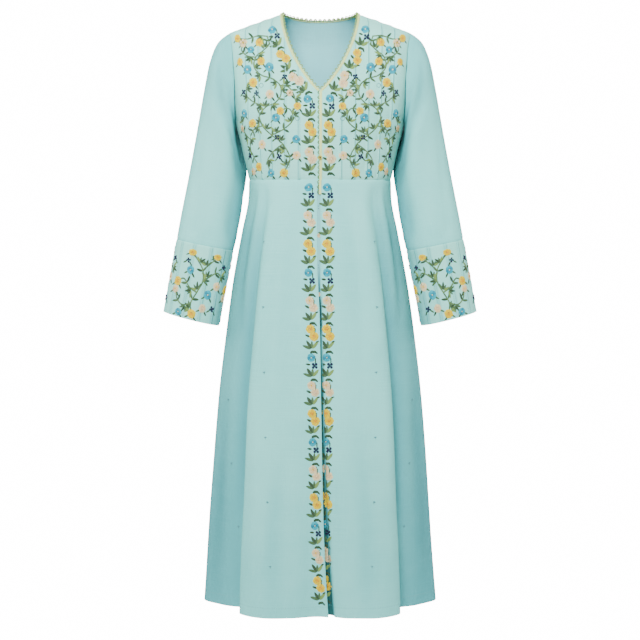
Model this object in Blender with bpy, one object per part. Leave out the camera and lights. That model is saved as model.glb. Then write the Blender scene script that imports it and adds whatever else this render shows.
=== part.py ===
"""A long kurta tunic, as it hangs on a wearer who isn't there.

It has a V-necked bodice with pintucks, a picot edging, long sleeves with pintucked cuffs,
and an A-line skirt that is open down the centre front. Every piece is a thin closed wall.
The bodice panels are cut from flat outlines and laid on a rounded form. The sleeves, cuffs
and skirt panels are lofted through sections that are worked out from the tables below.

Metres. +Z is up, the front faces -Y and the wearer's left is +X. The origin lies midway
between the two neck points, where the shoulder seams meet the neckline.
"""

import math

import bpy
import numpy as np
from mathutils.geometry import delaunay_2d_cdt

CLOTH = 0.0015  # wall thickness of the cloth
SEAM_GAP = 0.0003  # the distance between two pieces at a seam
LAID_ON = 0.0003  # how far trim stands off the cloth it lies on

# Heights that the pieces share.
SHOULDER_POINT = -0.038
UNDERARM = -0.214
WAIST = -0.333
HEM = -1.205
V_POINT = -0.160
BACK_NECK_DROP = 0.010

NECK_HALF_WIDTH = 0.077
SHOULDER_HALF_WIDTH = 0.183

# The bodice's rounded form: a section at each height, at the armhole's width.
BODICE_SECTIONS = {
    "height": (0.000, -0.020, -0.038, -0.060, -0.100, -0.150, -0.214, -0.270, -0.333),
    "half_width": (0.077, 0.133, 0.183, 0.1785, 0.1740, 0.1705, 0.1700, 0.1585, 0.1445),
    "front_depth": (0.030, 0.048, 0.062, 0.074, 0.089, 0.108, 0.121, 0.119, 0.110),
    "back_depth": (0.050, 0.063, 0.073, 0.083, 0.094, 0.102, 0.104, 0.101, 0.096),
}
SECTION_POWER = 2.2  # 2 is an ellipse, and more is squarer
ARMHOLE_WRAP = 0.0165  # how far the form goes on past the armhole's edge at its middle
V_CURVE = (1.7, 1.15)  # the two powers of the V neckline's curve

# Pintucks run up each front from the waist seam. The first is this far from the edge.
TUCK_COUNT = 5
TUCK_FIRST = 0.041
TUCK_SPACING = 0.0272
TUCK_HALF_WIDTH = 0.0016
TUCK_HEIGHT = 0.0013
TUCK_FLAT_AT_NECK = 0.006  # how near the neckline the tucks are stitched flat

# The skirt's smooth outline, before its folds.
SKIRT_SECTIONS = {
    "height": (-0.333, -0.366, -0.440, -0.538, -0.637, -0.784, -0.981, -1.205),
    "half_width": (0.1445, 0.1450, 0.1580, 0.1760, 0.1896, 0.2060, 0.2200, 0.2350),
    "front_depth": (0.110, 0.111, 0.116, 0.122, 0.127, 0.134, 0.141, 0.148),
    "back_depth": (0.096, 0.099, 0.112, 0.127, 0.134, 0.142, 0.151, 0.160),
}
# The folds at the hem, a row for each station from the centre front round to the centre
# back: its angle on the smooth section, and where the folded hem passes on each side.
SKIRT_FOLDS = (
    # station, degrees, left x, left y, right x, right y
    ("centre_front", 0, 0.000, -0.131, 0.000, -0.131),
    ("front_panel", 14, 0.055, -0.146, 0.056, -0.145),
    ("front_ridge", 28, 0.111, -0.146, 0.110, -0.147),
    ("fold_edge", 42, 0.156, -0.113, 0.157, -0.112),
    ("fold_valley", 52, 0.151, -0.071, 0.150, -0.070),
    ("side_front", 67, 0.192, -0.048, 0.193, -0.047),
    ("side_seam", 90, 0.235, -0.003, 0.235, -0.003),
    ("side_back", 112, 0.213, 0.056, 0.216, 0.054),
    ("back_valley", 128, 0.161, 0.082, 0.168, 0.084),
    ("back_ridge", 142, 0.140, 0.136, 0.148, 0.132),
    ("back_panel", 160, 0.078, 0.153, 0.070, 0.156),
    ("centre_back", 180, 0.000, 0.143, 0.000, 0.143),
)
SIDE_STATION = 6
FOLD_GROWTH = 1.25  # the folds deepen towards the hem by this power

# The centre front opening of the skirt: where the two free edges run.
SLIT_EDGES = {
    "height": (-0.333, -0.360, -0.500, -0.600, -0.800, -1.000, -1.120, -1.205),
    "right_x": (-0.0010, -0.0058, -0.0052, -0.0008, 0.0025, 0.0068, 0.0120, 0.0180),
    "left_x": (0.0008, 0.0008, 0.0008, 0.0008, -0.0010, -0.0040, -0.0065, -0.0080),
    "lift": (0.0000, 0.0000, 0.0000, 0.0004, 0.0022, 0.0032, 0.0040, 0.0045),
}
LAP_WIDTH = 0.060  # the stretch beside the opening that rises or sinks with its edge

# The strip that lies behind the top of the opening.
UNDERLAP = {"top": -0.336, "bottom": -0.620, "left_x": 0.012, "right_x": -0.016}
UNDERLAP_THICKNESS = 0.001

# The left sleeve, a row for each section. Outer and inner are its edges seen from the front.
SLEEVE_SECTIONS = {
    "station": ("armhole", "cap", "upper_arm", "biceps", "above_elbow",
                "elbow", "forearm", "cuff_seam", "cuff_end"),
    "outer_x": (0.1830, 0.2065, 0.2225, 0.2345, 0.2470, 0.2655, 0.2850, 0.2920, 0.3188),
    "outer_z": (-0.038, -0.058, -0.095, -0.150, -0.218, -0.317, -0.415, -0.4535, -0.600),
    "inner_x": (0.1700, 0.1722, 0.1690, 0.1628, 0.1560, 0.1535, 0.1715, 0.1790, 0.2060),
    "inner_z": (-0.214, -0.226, -0.243, -0.268, -0.300, -0.345, -0.440, -0.4765, -0.629),
    "middle_y": (0.000, 0.002, 0.004, 0.006, 0.006, 0.002, -0.005, -0.008, -0.020),
    "half_depth": (0.045, 0.055, 0.059, 0.058, 0.054, 0.049, 0.046, 0.045, 0.044),
}
SLEEVE_CLEARANCE = 0.0035  # how far the sleeve keeps from the bodice beside it
ARMHOLE_FADE = 2.2  # stations over which the armhole's own outline gives way to the tube
CUFF_STATION = 7
CUFF_END_STATION = 8
CUFF_TUCKS = 12

# Soft creases in a sleeve: along is in stations, round in degrees, where 0 is the outer
# edge, 90 the front and 180 the edge beside the body. Depth is below zero for a trough.
SLEEVE_CREASES = (
    # from, to, round at from, round at to, width in degrees, depth
    (1.0, 3.6, 62, 88, 17, -0.0040),
    (2.2, 5.2, 104, 142, 18, -0.0060),
    (2.8, 5.6, 78, 116, 18, 0.0035),
    (4.6, 6.9, 118, 150, 16, -0.0040),
    (1.2, 3.4, 262, 286, 20, -0.0045),
    (3.2, 5.8, 250, 222, 18, -0.0050),
)

# The crocheted edging: a band on the cloth's edge, with picots that stand past it.
PICOT_PITCH = 0.0095
PICOT_HEIGHT = 0.0022
EDGING_ON_CLOTH = 0.0028
EDGING_PAST_EDGE = 0.0012
EDGING_THICKNESS = 0.0010
FRONT_EDGING_END = -0.362

# How finely the walls are divided.
NECK_STEPS = 18
ARC_SAMPLES = 65
STEPS_PER_STATION = 3
SKIRT_ROWS = 14
SLEEVE_COLUMNS = 24
RINGS_PER_STATION = 2
CUFF_ROWS = 4
PICOT_STEPS = 3

AQUA = (0.49, 0.71, 0.71, 1.0)
AQUA_LIGHT = (0.60, 0.76, 0.75, 1.0)
LIME = (0.68, 0.72, 0.46, 1.0)


def curve_value(places, values, at):
    """A smooth curve through the table's points that never overshoots them."""
    places = np.asarray(places, float)
    values = np.asarray(values, float)
    at = np.asarray(at, float)
    if places[0] > places[-1]:
        places, values = places[::-1], values[::-1]
    step = np.diff(places)
    slope = np.diff(values) / step
    tangent = np.zeros(len(places))
    tangent[0], tangent[-1] = slope[0], slope[-1]
    same = slope[:-1] * slope[1:] > 0
    safe = np.where(same, slope[:-1] + slope[1:], 1.0)
    tangent[1:-1] = np.where(same, 2 * slope[:-1] * slope[1:] / safe, 0.0)
    i = np.clip(np.searchsorted(places, at, side="right") - 1, 0, len(step) - 1)
    h = step[i]
    t = np.clip((at - places[i]) / h, 0.0, 1.0)
    return (
        values[i] * (2 * t**3 - 3 * t**2 + 1)
        + tangent[i] * h * (t**3 - 2 * t**2 + t)
        + values[i + 1] * (3 * t**2 - 2 * t**3)
        + tangent[i + 1] * h * (t**3 - t**2)
    )


def ease(t):
    """0 to 1, level at both ends."""
    t = np.clip(t, 0.0, 1.0)
    return t * t * (3 - 2 * t)


def column(table, name, height):
    return curve_value(table["height"], table[name], height)


# The bodice's form


def form_half_width(height):
    """The form's half width. Beside an armhole it goes on past the armhole's edge."""
    share = (SHOULDER_POINT - height) / (SHOULDER_POINT - UNDERARM)
    wrap = ARMHOLE_WRAP * np.sin(np.pi * np.clip(share, 0.0, 1.0)) ** 0.8
    slope = (SHOULDER_HALF_WIDTH - NECK_HALF_WIDTH) / SHOULDER_POINT
    shoulder = NECK_HALF_WIDTH + slope * height
    below = column(BODICE_SECTIONS, "half_width", height)
    return np.where(height > SHOULDER_POINT, shoulder, below + wrap)


def quarter_section(half_width, depth):
    """Points of a quarter of each section, from its middle to its side, and their arc lengths."""
    turn = np.linspace(0.0, math.pi / 2, ARC_SAMPLES)
    across = half_width[:, None] * np.sin(turn) ** (2 / SECTION_POWER)
    out = depth[:, None] * np.abs(np.cos(turn)) ** (2 / SECTION_POWER)
    out[:, -1] = 0.0
    step = np.hypot(np.diff(across, axis=1), np.diff(out, axis=1))
    arc = np.concatenate([np.zeros((len(step), 1)), np.cumsum(step, axis=1)], axis=1)
    return across, out, arc


def between_samples(known, wanted, *found):
    """Row by row, the values of each found table where known reaches wanted."""
    rows = np.arange(len(wanted))
    i = np.clip((known < wanted[:, None]).sum(axis=1) - 1, 0, ARC_SAMPLES - 2)
    low, high = known[rows, i], known[rows, i + 1]
    t = np.clip((wanted - low) / np.maximum(high - low, 1e-9), 0.0, 1.0)
    return [table[rows, i] * (1 - t) + table[rows, i + 1] * t for table in found]


def form_quarter(height, front):
    side = "front_depth" if front else "back_depth"
    return quarter_section(
        form_half_width(height), column(BODICE_SECTIONS, side, height)
    )


def form_point(flat, front):
    """The place on the form of points (arc from the middle, height).

    Seen from outside, a positive arc lies to the right: the wearer's left on the front.
    """
    arc, height = np.asarray(flat, float).T
    across, out, length = form_quarter(height, front)
    x, y = between_samples(length, np.abs(arc), across, out)
    x = np.sign(arc) * x
    return np.stack([x, -y, height] if front else [-x, y, height], axis=1)


def on_front(flat):
    return form_point(flat, True)


def on_back(flat):
    return form_point(flat, False)


def arc_at(x, height, front):
    """The arc length from the middle to the place that is x wide of it."""
    across, _, length = form_quarter(height, front)
    return between_samples(across, np.asarray(x, float), length)[0]


def side_arc(height, front):
    return form_quarter(np.atleast_1d(height), front)[2][:, -1]


def neck_x(height):
    """Half the width of the V neckline at a height."""
    share = np.clip(height / V_POINT, 0.0, 1.0)
    return NECK_HALF_WIDTH * (1 - share ** V_CURVE[0]) ** (1 / V_CURVE[1])


def back_neck_height(x):
    return -BACK_NECK_DROP * (1 - (np.abs(x) / NECK_HALF_WIDTH) ** 2)


def armhole_heights(turn):
    """Heights round half an armhole, for turns from 0 at the shoulder to pi at the underarm."""
    return SHOULDER_POINT + (UNDERARM - SHOULDER_POINT) * (1 - np.cos(turn)) / 2


def armhole_flat(turn, front):
    """The armhole's edge in the panel's flat coordinates."""
    height = armhole_heights(turn)
    x = column(BODICE_SECTIONS, "half_width", height)
    return np.stack([arc_at(x, height, front), height], axis=1)


# Meshes


def surface_normals(surface, flat, step=1e-4):
    """Unit normals of a surface at flat points, from small steps each way."""
    along = surface(flat + (step, 0.0)) - surface(flat - (step, 0.0))
    up = surface(flat + (0.0, step)) - surface(flat - (0.0, step))
    normal = np.cross(along, up)
    return normal / np.linalg.norm(normal, axis=1)[:, None]


def rim_edges(faces):
    """The edges that only one face uses, as that face runs along them."""
    edges = {}
    for face in faces:
        for a, b in zip(face, face[1:] + face[:1]):
            edges[(a, b)] = True
    return [edge for edge in edges if (edge[1], edge[0]) not in edges]


def add_object(name, points, faces, colour):
    mesh = bpy.data.meshes.new(name)
    mesh.from_pydata([tuple(p) for p in points], [], faces)
    mesh.shade_smooth()
    mesh.set_sharp_from_angle(angle=math.radians(50))
    material = bpy.data.materials.new(name)
    material.use_nodes = True
    shader = material.node_tree.nodes["Principled BSDF"]
    shader.inputs["Base Color"].default_value = colour
    shader.inputs["Roughness"].default_value = 0.85
    shader.inputs["Metallic"].default_value = 0.0
    mesh.materials.append(material)
    obj = bpy.data.objects.new(name, mesh)
    bpy.context.scene.collection.objects.link(obj)
    return obj


def add_wall(name, outer, inner, faces, colour):
    """A closed wall from matching outer and inner points. The faces are the outer ones."""
    count = len(outer)
    inside = [tuple(i + count for i in reversed(face)) for face in faces]
    rim = [(b, a, a + count, b + count) for a, b in rim_edges(faces)]
    return add_object(name, np.vstack([outer, inner]), faces + inside + rim, colour)


def grid_faces(columns, rows, closed=False):
    """Quads of a grid whose points run column by column along each row, rows going down."""
    last = columns if closed else columns - 1
    faces = []
    for j in range(rows - 1):
        for i in range(last):
            k = (i + 1) % columns
            a, b = j * columns + i, j * columns + k
            faces.append((a, a + columns, b + columns, b))
    return faces


# Bodice


def near_outline(points, outline, margin):
    """Which points lie nearer to the outline than the margin."""
    start, end = outline, np.roll(outline, -1, axis=0)
    run = end - start
    offset = points[:, None, :] - start[None]
    share = np.clip((offset * run).sum(2) / (run * run).sum(1), 0.0, 1.0)
    away = offset - share[:, :, None] * run[None]
    return np.hypot(away[..., 0], away[..., 1]).min(axis=1) < margin


def inside_outline(points, outline):
    start, end = outline, np.roll(outline, -1, axis=0)
    x, y = points[:, :1], points[:, 1:]
    crosses = (start[:, 1] > y) != (end[:, 1] > y)
    rise = np.where(np.abs(end[:, 1] - start[:, 1]) < 1e-12, 1e-12, end[:, 1] - start[:, 1])
    at = start[:, 0] + (y - start[:, 1]) * (end[:, 0] - start[:, 0]) / rise
    return (crosses & (x < at)).sum(axis=1) % 2 == 1


def triangulated(outline, inner_points):
    """Triangles between a closed flat outline and the points inside it."""
    count = len(outline)
    edges = [(i, (i + 1) % count) for i in range(count)]
    points = [tuple(p) for p in np.vstack([outline, inner_points])]
    found = delaunay_2d_cdt(points, edges, [], 1, 1e-7)
    flat = np.array([tuple(p) for p in found[0]], float)
    return flat, [tuple(face) for face in found[2]]


def tuck_centres():
    return TUCK_FIRST + TUCK_SPACING * np.arange(TUCK_COUNT)


def tuck_columns():
    """Each tuck's foot, crest and other foot, as arcs from the centre front."""
    sides = np.array((-TUCK_HALF_WIDTH, 0.0, TUCK_HALF_WIDTH))
    return (tuck_centres()[:, None] + sides).ravel()


def tuck_rise(flat):
    """How far the tucks raise a front panel. They are stitched flat under the edging."""
    away = np.abs(np.abs(flat[:, 0])[:, None] - tuck_centres()).min(axis=1)
    neck = neck_line(60)
    offset = (np.abs(flat) * (1.0, -1.0))[:, None, :] - neck[None]
    from_neck = np.hypot(offset[..., 0], offset[..., 1]).min(axis=1)
    flattened = np.clip((from_neck - TUCK_FLAT_AT_NECK) / TUCK_FLAT_AT_NECK, 0.0, 1.0)
    return TUCK_HEIGHT * np.clip(1 - away / TUCK_HALF_WIDTH, 0.0, 1.0) * flattened


def side_seam_flat(front, count):
    height = np.linspace(UNDERARM, WAIST + SEAM_GAP / 2, count + 1)[1:-1]
    return np.stack([side_arc(height, front) - SEAM_GAP / 2, height], axis=1)


def shoulder_flat(front, arcs=None, count=8):
    """The shoulder seam from the armhole to the neck, at the given arcs or evenly."""
    height = np.linspace(SHOULDER_POINT, -0.00005, 120)
    arc = side_arc(height, front) - SEAM_GAP / 2
    if arcs is None:
        arcs = np.linspace(arc[0], arc[-1], count)
    else:
        arcs = np.array([a for a in arcs[::-1] if arc[-1] < a < arc[0]])
    return np.stack([arcs, np.interp(arcs, arc[::-1], height[::-1])], axis=1)


def neck_line(count):
    """The V neckline from the neck point to the V point, in even steps through space."""
    height = V_POINT * np.linspace(0.12, 1.0, 400) ** 5
    flat = np.stack([arc_at(neck_x(height), height, True), height], axis=1)
    step = np.linalg.norm(np.diff(on_front(flat), axis=0), axis=1)
    along = np.concatenate([[0.0], np.cumsum(step)])
    at = np.linspace(0.0, along[-1], count + 1)
    return np.stack([np.interp(at, along, flat[:, k]) for k in range(2)], axis=1)


def back_neck_flat(count):
    """The back neckline from the neck point to the centre back."""
    turn = np.linspace(math.pi / 2, 0.0, count + 1)[1:]
    x = NECK_HALF_WIDTH * np.sin(turn) ** (2 / SECTION_POWER)
    height = back_neck_height(x) - 0.00002
    return np.stack([arc_at(x, height, False), height], axis=1)


def front_columns():
    """Arcs of the front panel's columns, from beside the centre front to its side seam."""
    widest = side_arc(UNDERARM, True)[0]
    between = TUCK_FIRST + TUCK_SPACING * (np.arange(TUCK_COUNT + 3) - 0.5)
    plain = np.concatenate([(0.013,), between])
    return np.sort(np.concatenate([plain[plain < widest - 0.008], tuck_columns()]))


def front_outline(edge):
    """The front panel's flat outline, for the wearer's left side."""
    columns = front_columns()
    waist = WAIST + SEAM_GAP / 2
    waist_arc = side_arc(waist, True)[0]
    along_waist = columns[columns < waist_arc - 0.004]
    turn = np.linspace(0.0, math.pi, SLEEVE_COLUMNS // 2 + 1)[::-1]
    armhole = armhole_flat(turn, True) - (SEAM_GAP / 2, 0.0)
    centre = np.linspace(V_POINT, waist, 8)[:-1]
    return np.vstack(
        [
            [(edge, waist)],
            np.stack([along_waist, np.full(len(along_waist), waist)], axis=1),
            [(waist_arc - SEAM_GAP / 2, waist)],
            side_seam_flat(True, 5)[::-1],
            armhole,
            shoulder_flat(True, columns)[1:],
            shoulder_flat(True, count=2)[1:],
            neck_line(NECK_STEPS)[1:-1],
            np.stack([np.full(len(centre), edge), centre], axis=1),
        ]
    )


def inner_points(outline, columns, heights, margin):
    grid = np.array([(a, h) for h in heights for a in columns])
    keep = inside_outline(grid, outline) & ~near_outline(grid, outline, margin)
    return grid[keep]


def shoulder_rows(front, columns):
    """Points a little below the shoulder seam, where the form rolls over."""
    seam = shoulder_flat(front, np.sort(np.asarray(columns)))[1:-1]
    drops = (0.0014, 0.0045, 0.0105, 0.0200)
    return np.vstack([seam - (0.0, drop) for drop in drops])


def add_front_panel(name, sign, edge):
    """One front of the bodice. Sign is 1 for the wearer's left."""
    outline = front_outline(edge)
    heights = (-0.050, -0.072, -0.096, -0.120, -0.144, -0.168, -0.192, -0.216, -0.240,
               -0.264, -0.288, -0.312)
    grid = inner_points(outline, front_columns(), heights, 0.0035)
    neck = neck_line(60)[::-1]
    tucks = tuck_columns()
    tucks = tucks[tucks < neck[-1, 0] - 0.004]
    meets = np.interp(tucks, neck[:, 0], neck[:, 1])
    tops = [np.stack([tucks, meets - drop], axis=1) for drop in (0.011, 0.021)]
    rows = np.vstack([shoulder_rows(True, front_columns()), *tops])
    rows = rows[inside_outline(rows, outline) & ~near_outline(rows, outline, 0.0006)]
    flat, faces = triangulated(outline, np.vstack([grid, rows]))
    if sign < 0:
        flat = flat * (-1.0, 1.0)
        faces = [face[::-1] for face in faces]
    middle = on_front(flat)
    normal = surface_normals(on_front, flat)
    outer = middle + normal * tuck_rise(flat)[:, None]
    return add_wall(name, outer, middle - normal * CLOTH, faces, AQUA_LIGHT)


def back_outline():
    waist = WAIST + SEAM_GAP / 2
    waist_arc = side_arc(waist, False)[0] - SEAM_GAP / 2
    turn = np.linspace(0.0, math.pi, SLEEVE_COLUMNS // 2 + 1)[::-1]
    half = np.vstack(
        [
            [(waist_arc, waist)],
            side_seam_flat(False, 5)[::-1],
            armhole_flat(turn, False) - (SEAM_GAP / 2, 0.0),
            shoulder_flat(False, count=9)[1:],
        ]
    )
    neck = back_neck_flat(NECK_STEPS // 2)
    other = np.vstack([half, neck[:-1]])[::-1] * (-1.0, 1.0)
    along_waist = np.linspace(-waist_arc, waist_arc, 17)[1:-1]
    bottom = np.stack([along_waist, np.full(len(along_waist), waist)], axis=1)
    return np.vstack([half, neck, other, bottom])


def add_back_panel():
    outline = back_outline()
    columns = np.linspace(-0.21, 0.21, 17)
    heights = (-0.050, -0.078, -0.108, -0.140, -0.172, -0.204, -0.236, -0.268, -0.300)
    grid = inner_points(outline, columns, heights, 0.008)
    right = shoulder_rows(False, np.linspace(0.098, 0.200, 7))
    rows = np.vstack([right, right * (-1.0, 1.0)])
    by_neck = [(a, -0.004 - 0.4 * abs(a - 0.062)) for a in (0.050, 0.062, 0.074)]
    corner = [(0.066, -0.013), (0.080, -0.012), (0.094, -0.013), (0.072, -0.024)]
    corner = np.array(by_neck + corner + [(0.090, -0.026), (0.108, -0.032)])
    middle_rows = np.array([(a, h) for h in (-0.022, -0.034) for a in columns if abs(a) < 0.06])
    rows = np.vstack([rows, corner, corner * (-1.0, 1.0), middle_rows])
    rows = rows[inside_outline(rows, outline) & ~near_outline(rows, outline, 0.0006)]
    flat, faces = triangulated(outline, np.vstack([grid, rows]))
    middle = on_back(flat)
    normal = surface_normals(on_back, flat)
    return add_wall("bodice_back", middle, middle - normal * CLOTH, faces, AQUA)


# Skirt


def fold_loop():
    """The folded hem as a closed loop of stations, and each station's angle."""
    left = [(row[2], row[3]) for row in SKIRT_FOLDS]
    right = [(-row[4], row[5]) for row in SKIRT_FOLDS]
    degrees = [row[1] for row in SKIRT_FOLDS]
    loop = np.array(left + right[-2:0:-1])
    angles = np.array(degrees + [360 - d for d in degrees[-2:0:-1]], float)
    return loop, angles


def loop_value(values, at, turn=None):
    """A smooth closed curve through the values of whole stations. Turn is one full lap."""
    count = len(values)
    i = np.floor(at).astype(int)
    t = (at - i)[:, None]
    values = np.asarray(values, float).reshape(count, -1)

    def station(k):
        lap = (turn or 0.0) * (k // count)
        return values[k % count] + np.asarray(lap)[:, None]

    p0, p1, p2, p3 = (station(i + k) for k in (-1, 0, 1, 2))
    return 0.5 * (
        2 * p1
        + (p2 - p0) * t
        + (2 * p0 - 5 * p1 + 4 * p2 - p3) * t**2
        + (3 * p1 - p0 - 3 * p2 + p3) * t**3
    )


def skirt_point(flat):
    """The place on the skirt of points (station round it, height)."""
    station, height = np.asarray(flat, float).T
    half_width = column(SKIRT_SECTIONS, "half_width", height)
    front = column(SKIRT_SECTIONS, "front_depth", height)
    back = column(SKIRT_SECTIONS, "back_depth", height)
    loop, angles = fold_loop()
    turn = np.radians(loop_value(angles, station, 360.0)[:, 0])
    power = 2 / SECTION_POWER
    sine, cosine = np.sin(turn), np.cos(turn)
    depth = np.where(cosine > 0, front, back)
    smooth_x = half_width * np.sign(sine) * np.abs(sine) ** power
    smooth_y = -depth * np.sign(cosine) * np.abs(cosine) ** power
    folded = loop_value(loop, station)
    width_share = half_width / SKIRT_SECTIONS["half_width"][-1]
    front_share = front / SKIRT_SECTIONS["front_depth"][-1]
    back_share = back / SKIRT_SECTIONS["back_depth"][-1]
    depth_share = np.where(folded[:, 1] < 0, front_share, back_share)
    grown = np.clip((WAIST - height) / (WAIST - HEM), 0.0, 1.0) ** FOLD_GROWTH
    x = smooth_x * (1 - grown) + folded[:, 0] * width_share * grown
    y = smooth_y * (1 - grown) + folded[:, 1] * depth_share * grown
    return np.stack([x, y, height], axis=1)


def slit_station(x, height):
    """The station near the centre front whose x is the one given, at each height."""
    near = np.linspace(-0.6, 0.6, 25)
    flat = np.array([(s, h) for h in height for s in near])
    found = skirt_point(flat)[:, 0].reshape(len(height), len(near))
    return np.array([np.interp(x[i], found[i], near) for i in range(len(height))])


def add_skirt_panel(name, start, end, heights, steps, lift=None, colour=AQUA):
    """A panel between two stations at each height. Lift moves its points out beside the slit."""
    share = np.linspace(0.0, 1.0, steps + 1)
    if lift is not None and lift[1] == "start":
        share = share ** 1.15
    if lift is not None and lift[1] == "end":
        share = 1 - (1 - share) ** 1.15
    station = start[:, None] + (end - start)[:, None] * share
    height = np.repeat(heights[:, None], steps + 1, axis=1)
    flat = np.stack([station.ravel(), height.ravel()], axis=1)
    middle = skirt_point(flat)
    normal = surface_normals(skirt_point, flat, 1e-3)
    if lift is not None:
        edge = middle.reshape(len(heights), steps + 1, 3)[:, 0 if lift[1] == "start" else -1]
        away = np.abs(middle[:, 0] - np.repeat(edge[:, 0], steps + 1))
        amount = np.repeat(lift[0], steps + 1) * ease(1 - away / LAP_WIDTH)
        middle = middle + normal * amount[:, None]
    faces = grid_faces(steps + 1, len(heights))
    return add_wall(name, middle, middle - normal * CLOTH, faces, colour)


def skirt_heights():
    """Rows close together below the waist, where the skirt turns out."""
    share = np.linspace(0.0, 1.0, SKIRT_ROWS + 1) ** 1.15
    return (WAIST - SEAM_GAP / 2) + (HEM - WAIST + SEAM_GAP / 2) * share


def seam_step(height, station, direction):
    """Half a seam gap at a station, in stations."""
    here = np.stack([np.full(len(height), float(station)), height], axis=1)
    there = here + (0.05 * direction, 0.0)
    reach = np.linalg.norm(skirt_point(there) - skirt_point(here), axis=1)
    return direction * 0.05 * (SEAM_GAP / 2) / reach


def add_skirt():
    heights = skirt_heights()
    lap = 2 * len(SKIRT_FOLDS) - 2
    right_side = lap - SIDE_STATION
    lift = column(SLIT_EDGES, "lift", heights)
    left_start = slit_station(column(SLIT_EDGES, "left_x", heights), heights)
    left_end = SIDE_STATION + seam_step(heights, SIDE_STATION, -1)
    steps = SIDE_STATION * STEPS_PER_STATION + 1
    add_skirt_panel("skirt_front_left", left_start, left_end, heights, steps,
                    (-lift, "start"))
    right_start = right_side + seam_step(heights, right_side, 1)
    right_end = lap + slit_station(column(SLIT_EDGES, "right_x", heights), heights)
    add_skirt_panel("skirt_front_right", right_start, right_end, heights, steps,
                    (lift, "end"))
    back_start = SIDE_STATION + seam_step(heights, SIDE_STATION, 1)
    back_end = right_side + seam_step(heights, right_side, -1)
    back_steps = (right_side - SIDE_STATION) * STEPS_PER_STATION
    add_skirt_panel("skirt_back", back_start, back_end, heights, back_steps)


def add_underlap():
    """The narrow strip behind the top of the opening, just inside the two fronts."""
    heights = np.linspace(UNDERLAP["top"], UNDERLAP["bottom"], 8)
    narrowing = 1 - 0.35 * ease((heights - heights[0]) / (heights[-1] - heights[0]))
    left = slit_station(UNDERLAP["left_x"] * narrowing, heights)
    right = slit_station(UNDERLAP["right_x"] * narrowing, heights)
    share = np.linspace(0.0, 1.0, 4)
    station = right[:, None] + (left - right)[:, None] * share
    flat = np.stack([station.ravel(), np.repeat(heights, 4)], axis=1)
    normal = surface_normals(skirt_point, flat, 1e-3)
    sunk = CLOTH + LAID_ON + np.repeat(column(SLIT_EDGES, "lift", heights), 4)
    outer = skirt_point(flat) - normal * sunk[:, None]
    inner = outer - normal * UNDERLAP_THICKNESS
    add_wall("slit_underlap", outer, inner, grid_faces(4, len(heights)), AQUA)


# Sleeves and cuffs


def sleeve_column(name, station):
    places = np.arange(len(SLEEVE_SECTIONS["station"]))
    return curve_value(places, SLEEVE_SECTIONS[name], station)


def sleeve_tube(station, turn):
    """The sleeve's rounded tube. Turn is 0 at its outer edge and a quarter lap at its front."""
    outer = np.stack([sleeve_column("outer_x", station), sleeve_column("outer_z", station)], 1)
    inner = np.stack([sleeve_column("inner_x", station), sleeve_column("inner_z", station)], 1)
    half = (outer - inner) / 2
    centre = (outer + inner) / 2
    power = 2 / SECTION_POWER
    cosine = np.sign(np.cos(turn)) * np.abs(np.cos(turn)) ** power
    sine = np.sign(np.sin(turn)) * np.abs(np.sin(turn)) ** power
    x, z = (centre + half * cosine[:, None]).T
    y = sleeve_column("middle_y", station) - sleeve_column("half_depth", station) * sine
    return np.stack([x, y, z], axis=1)


def armhole_loop(turn, found=None):
    """The bodice's armhole in space, at the same turns as the sleeve's tube.

    Found takes a surface and flat points on it, and gives what is wanted there.
    """
    found = found or (lambda surface, flat: surface(flat))
    lap = np.mod(turn, 2 * math.pi)
    front = lap <= math.pi
    half = np.where(front, lap, 2 * math.pi - lap)
    ahead = found(on_front, armhole_flat(half, True))
    behind = found(on_back, armhole_flat(half, False) * (-1.0, 1.0))
    return np.where(front[:, None], ahead, behind)


def crease(station, turn):
    """How far the sleeve's creases move its surface out."""
    degrees = np.degrees(np.mod(turn, 2 * math.pi))
    total = np.zeros(len(station))
    for start, end, round_start, round_end, width, depth in SLEEVE_CREASES:
        share = (station - start) / (end - start)
        middle = round_start + (round_end - round_start) * share
        across = np.exp(-(((degrees - middle) / width) ** 2))
        along = np.sin(np.pi * np.clip(share, 0.0, 1.0)) ** 1.5
        total += depth * across * along
    return total


def clear_of_bodice(points, station):
    """Push points of the sleeve out sideways to where they just clear the bodice."""
    x, y, z = points.T
    height = np.clip(z, WAIST, -0.001)
    side = [column(BODICE_SECTIONS, name, height) for name in ("front_depth", "back_depth")]
    depth = np.where(y < 0, side[0], side[1])
    inward = np.clip(1 - (np.abs(y) / depth) ** SECTION_POWER, 0.0, 1.0)
    body = form_half_width(height) * inward ** (1 / SECTION_POWER)
    grown = np.clip(station, 0.0, 1.0)
    short = body + SLEEVE_CLEARANCE * grown - x
    soft = 0.003 * grown
    return points + np.stack([(short + np.hypot(short, soft)) / 2, 0 * x, 0 * x], axis=1)


def sleeve_point(flat):
    """The place on the left sleeve of points (turn in radians, minus the station)."""
    turn, station = flat[:, 0], -flat[:, 1]
    zero = np.zeros(len(turn))
    fade = 1 - ease(station / ARMHOLE_FADE)
    blended = sleeve_tube(station, turn) + fade[:, None] * (
        armhole_loop(turn) - sleeve_tube(zero, turn)
    )
    return clear_of_bodice(blended, station)


def tube_flat(turns, stations):
    return np.array([(turn, -station) for station in stations for turn in turns])


def mirrored(points, faces, sign):
    if sign > 0:
        return points, faces
    return points * (-1.0, 1.0, 1.0), [face[::-1] for face in faces]


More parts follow.
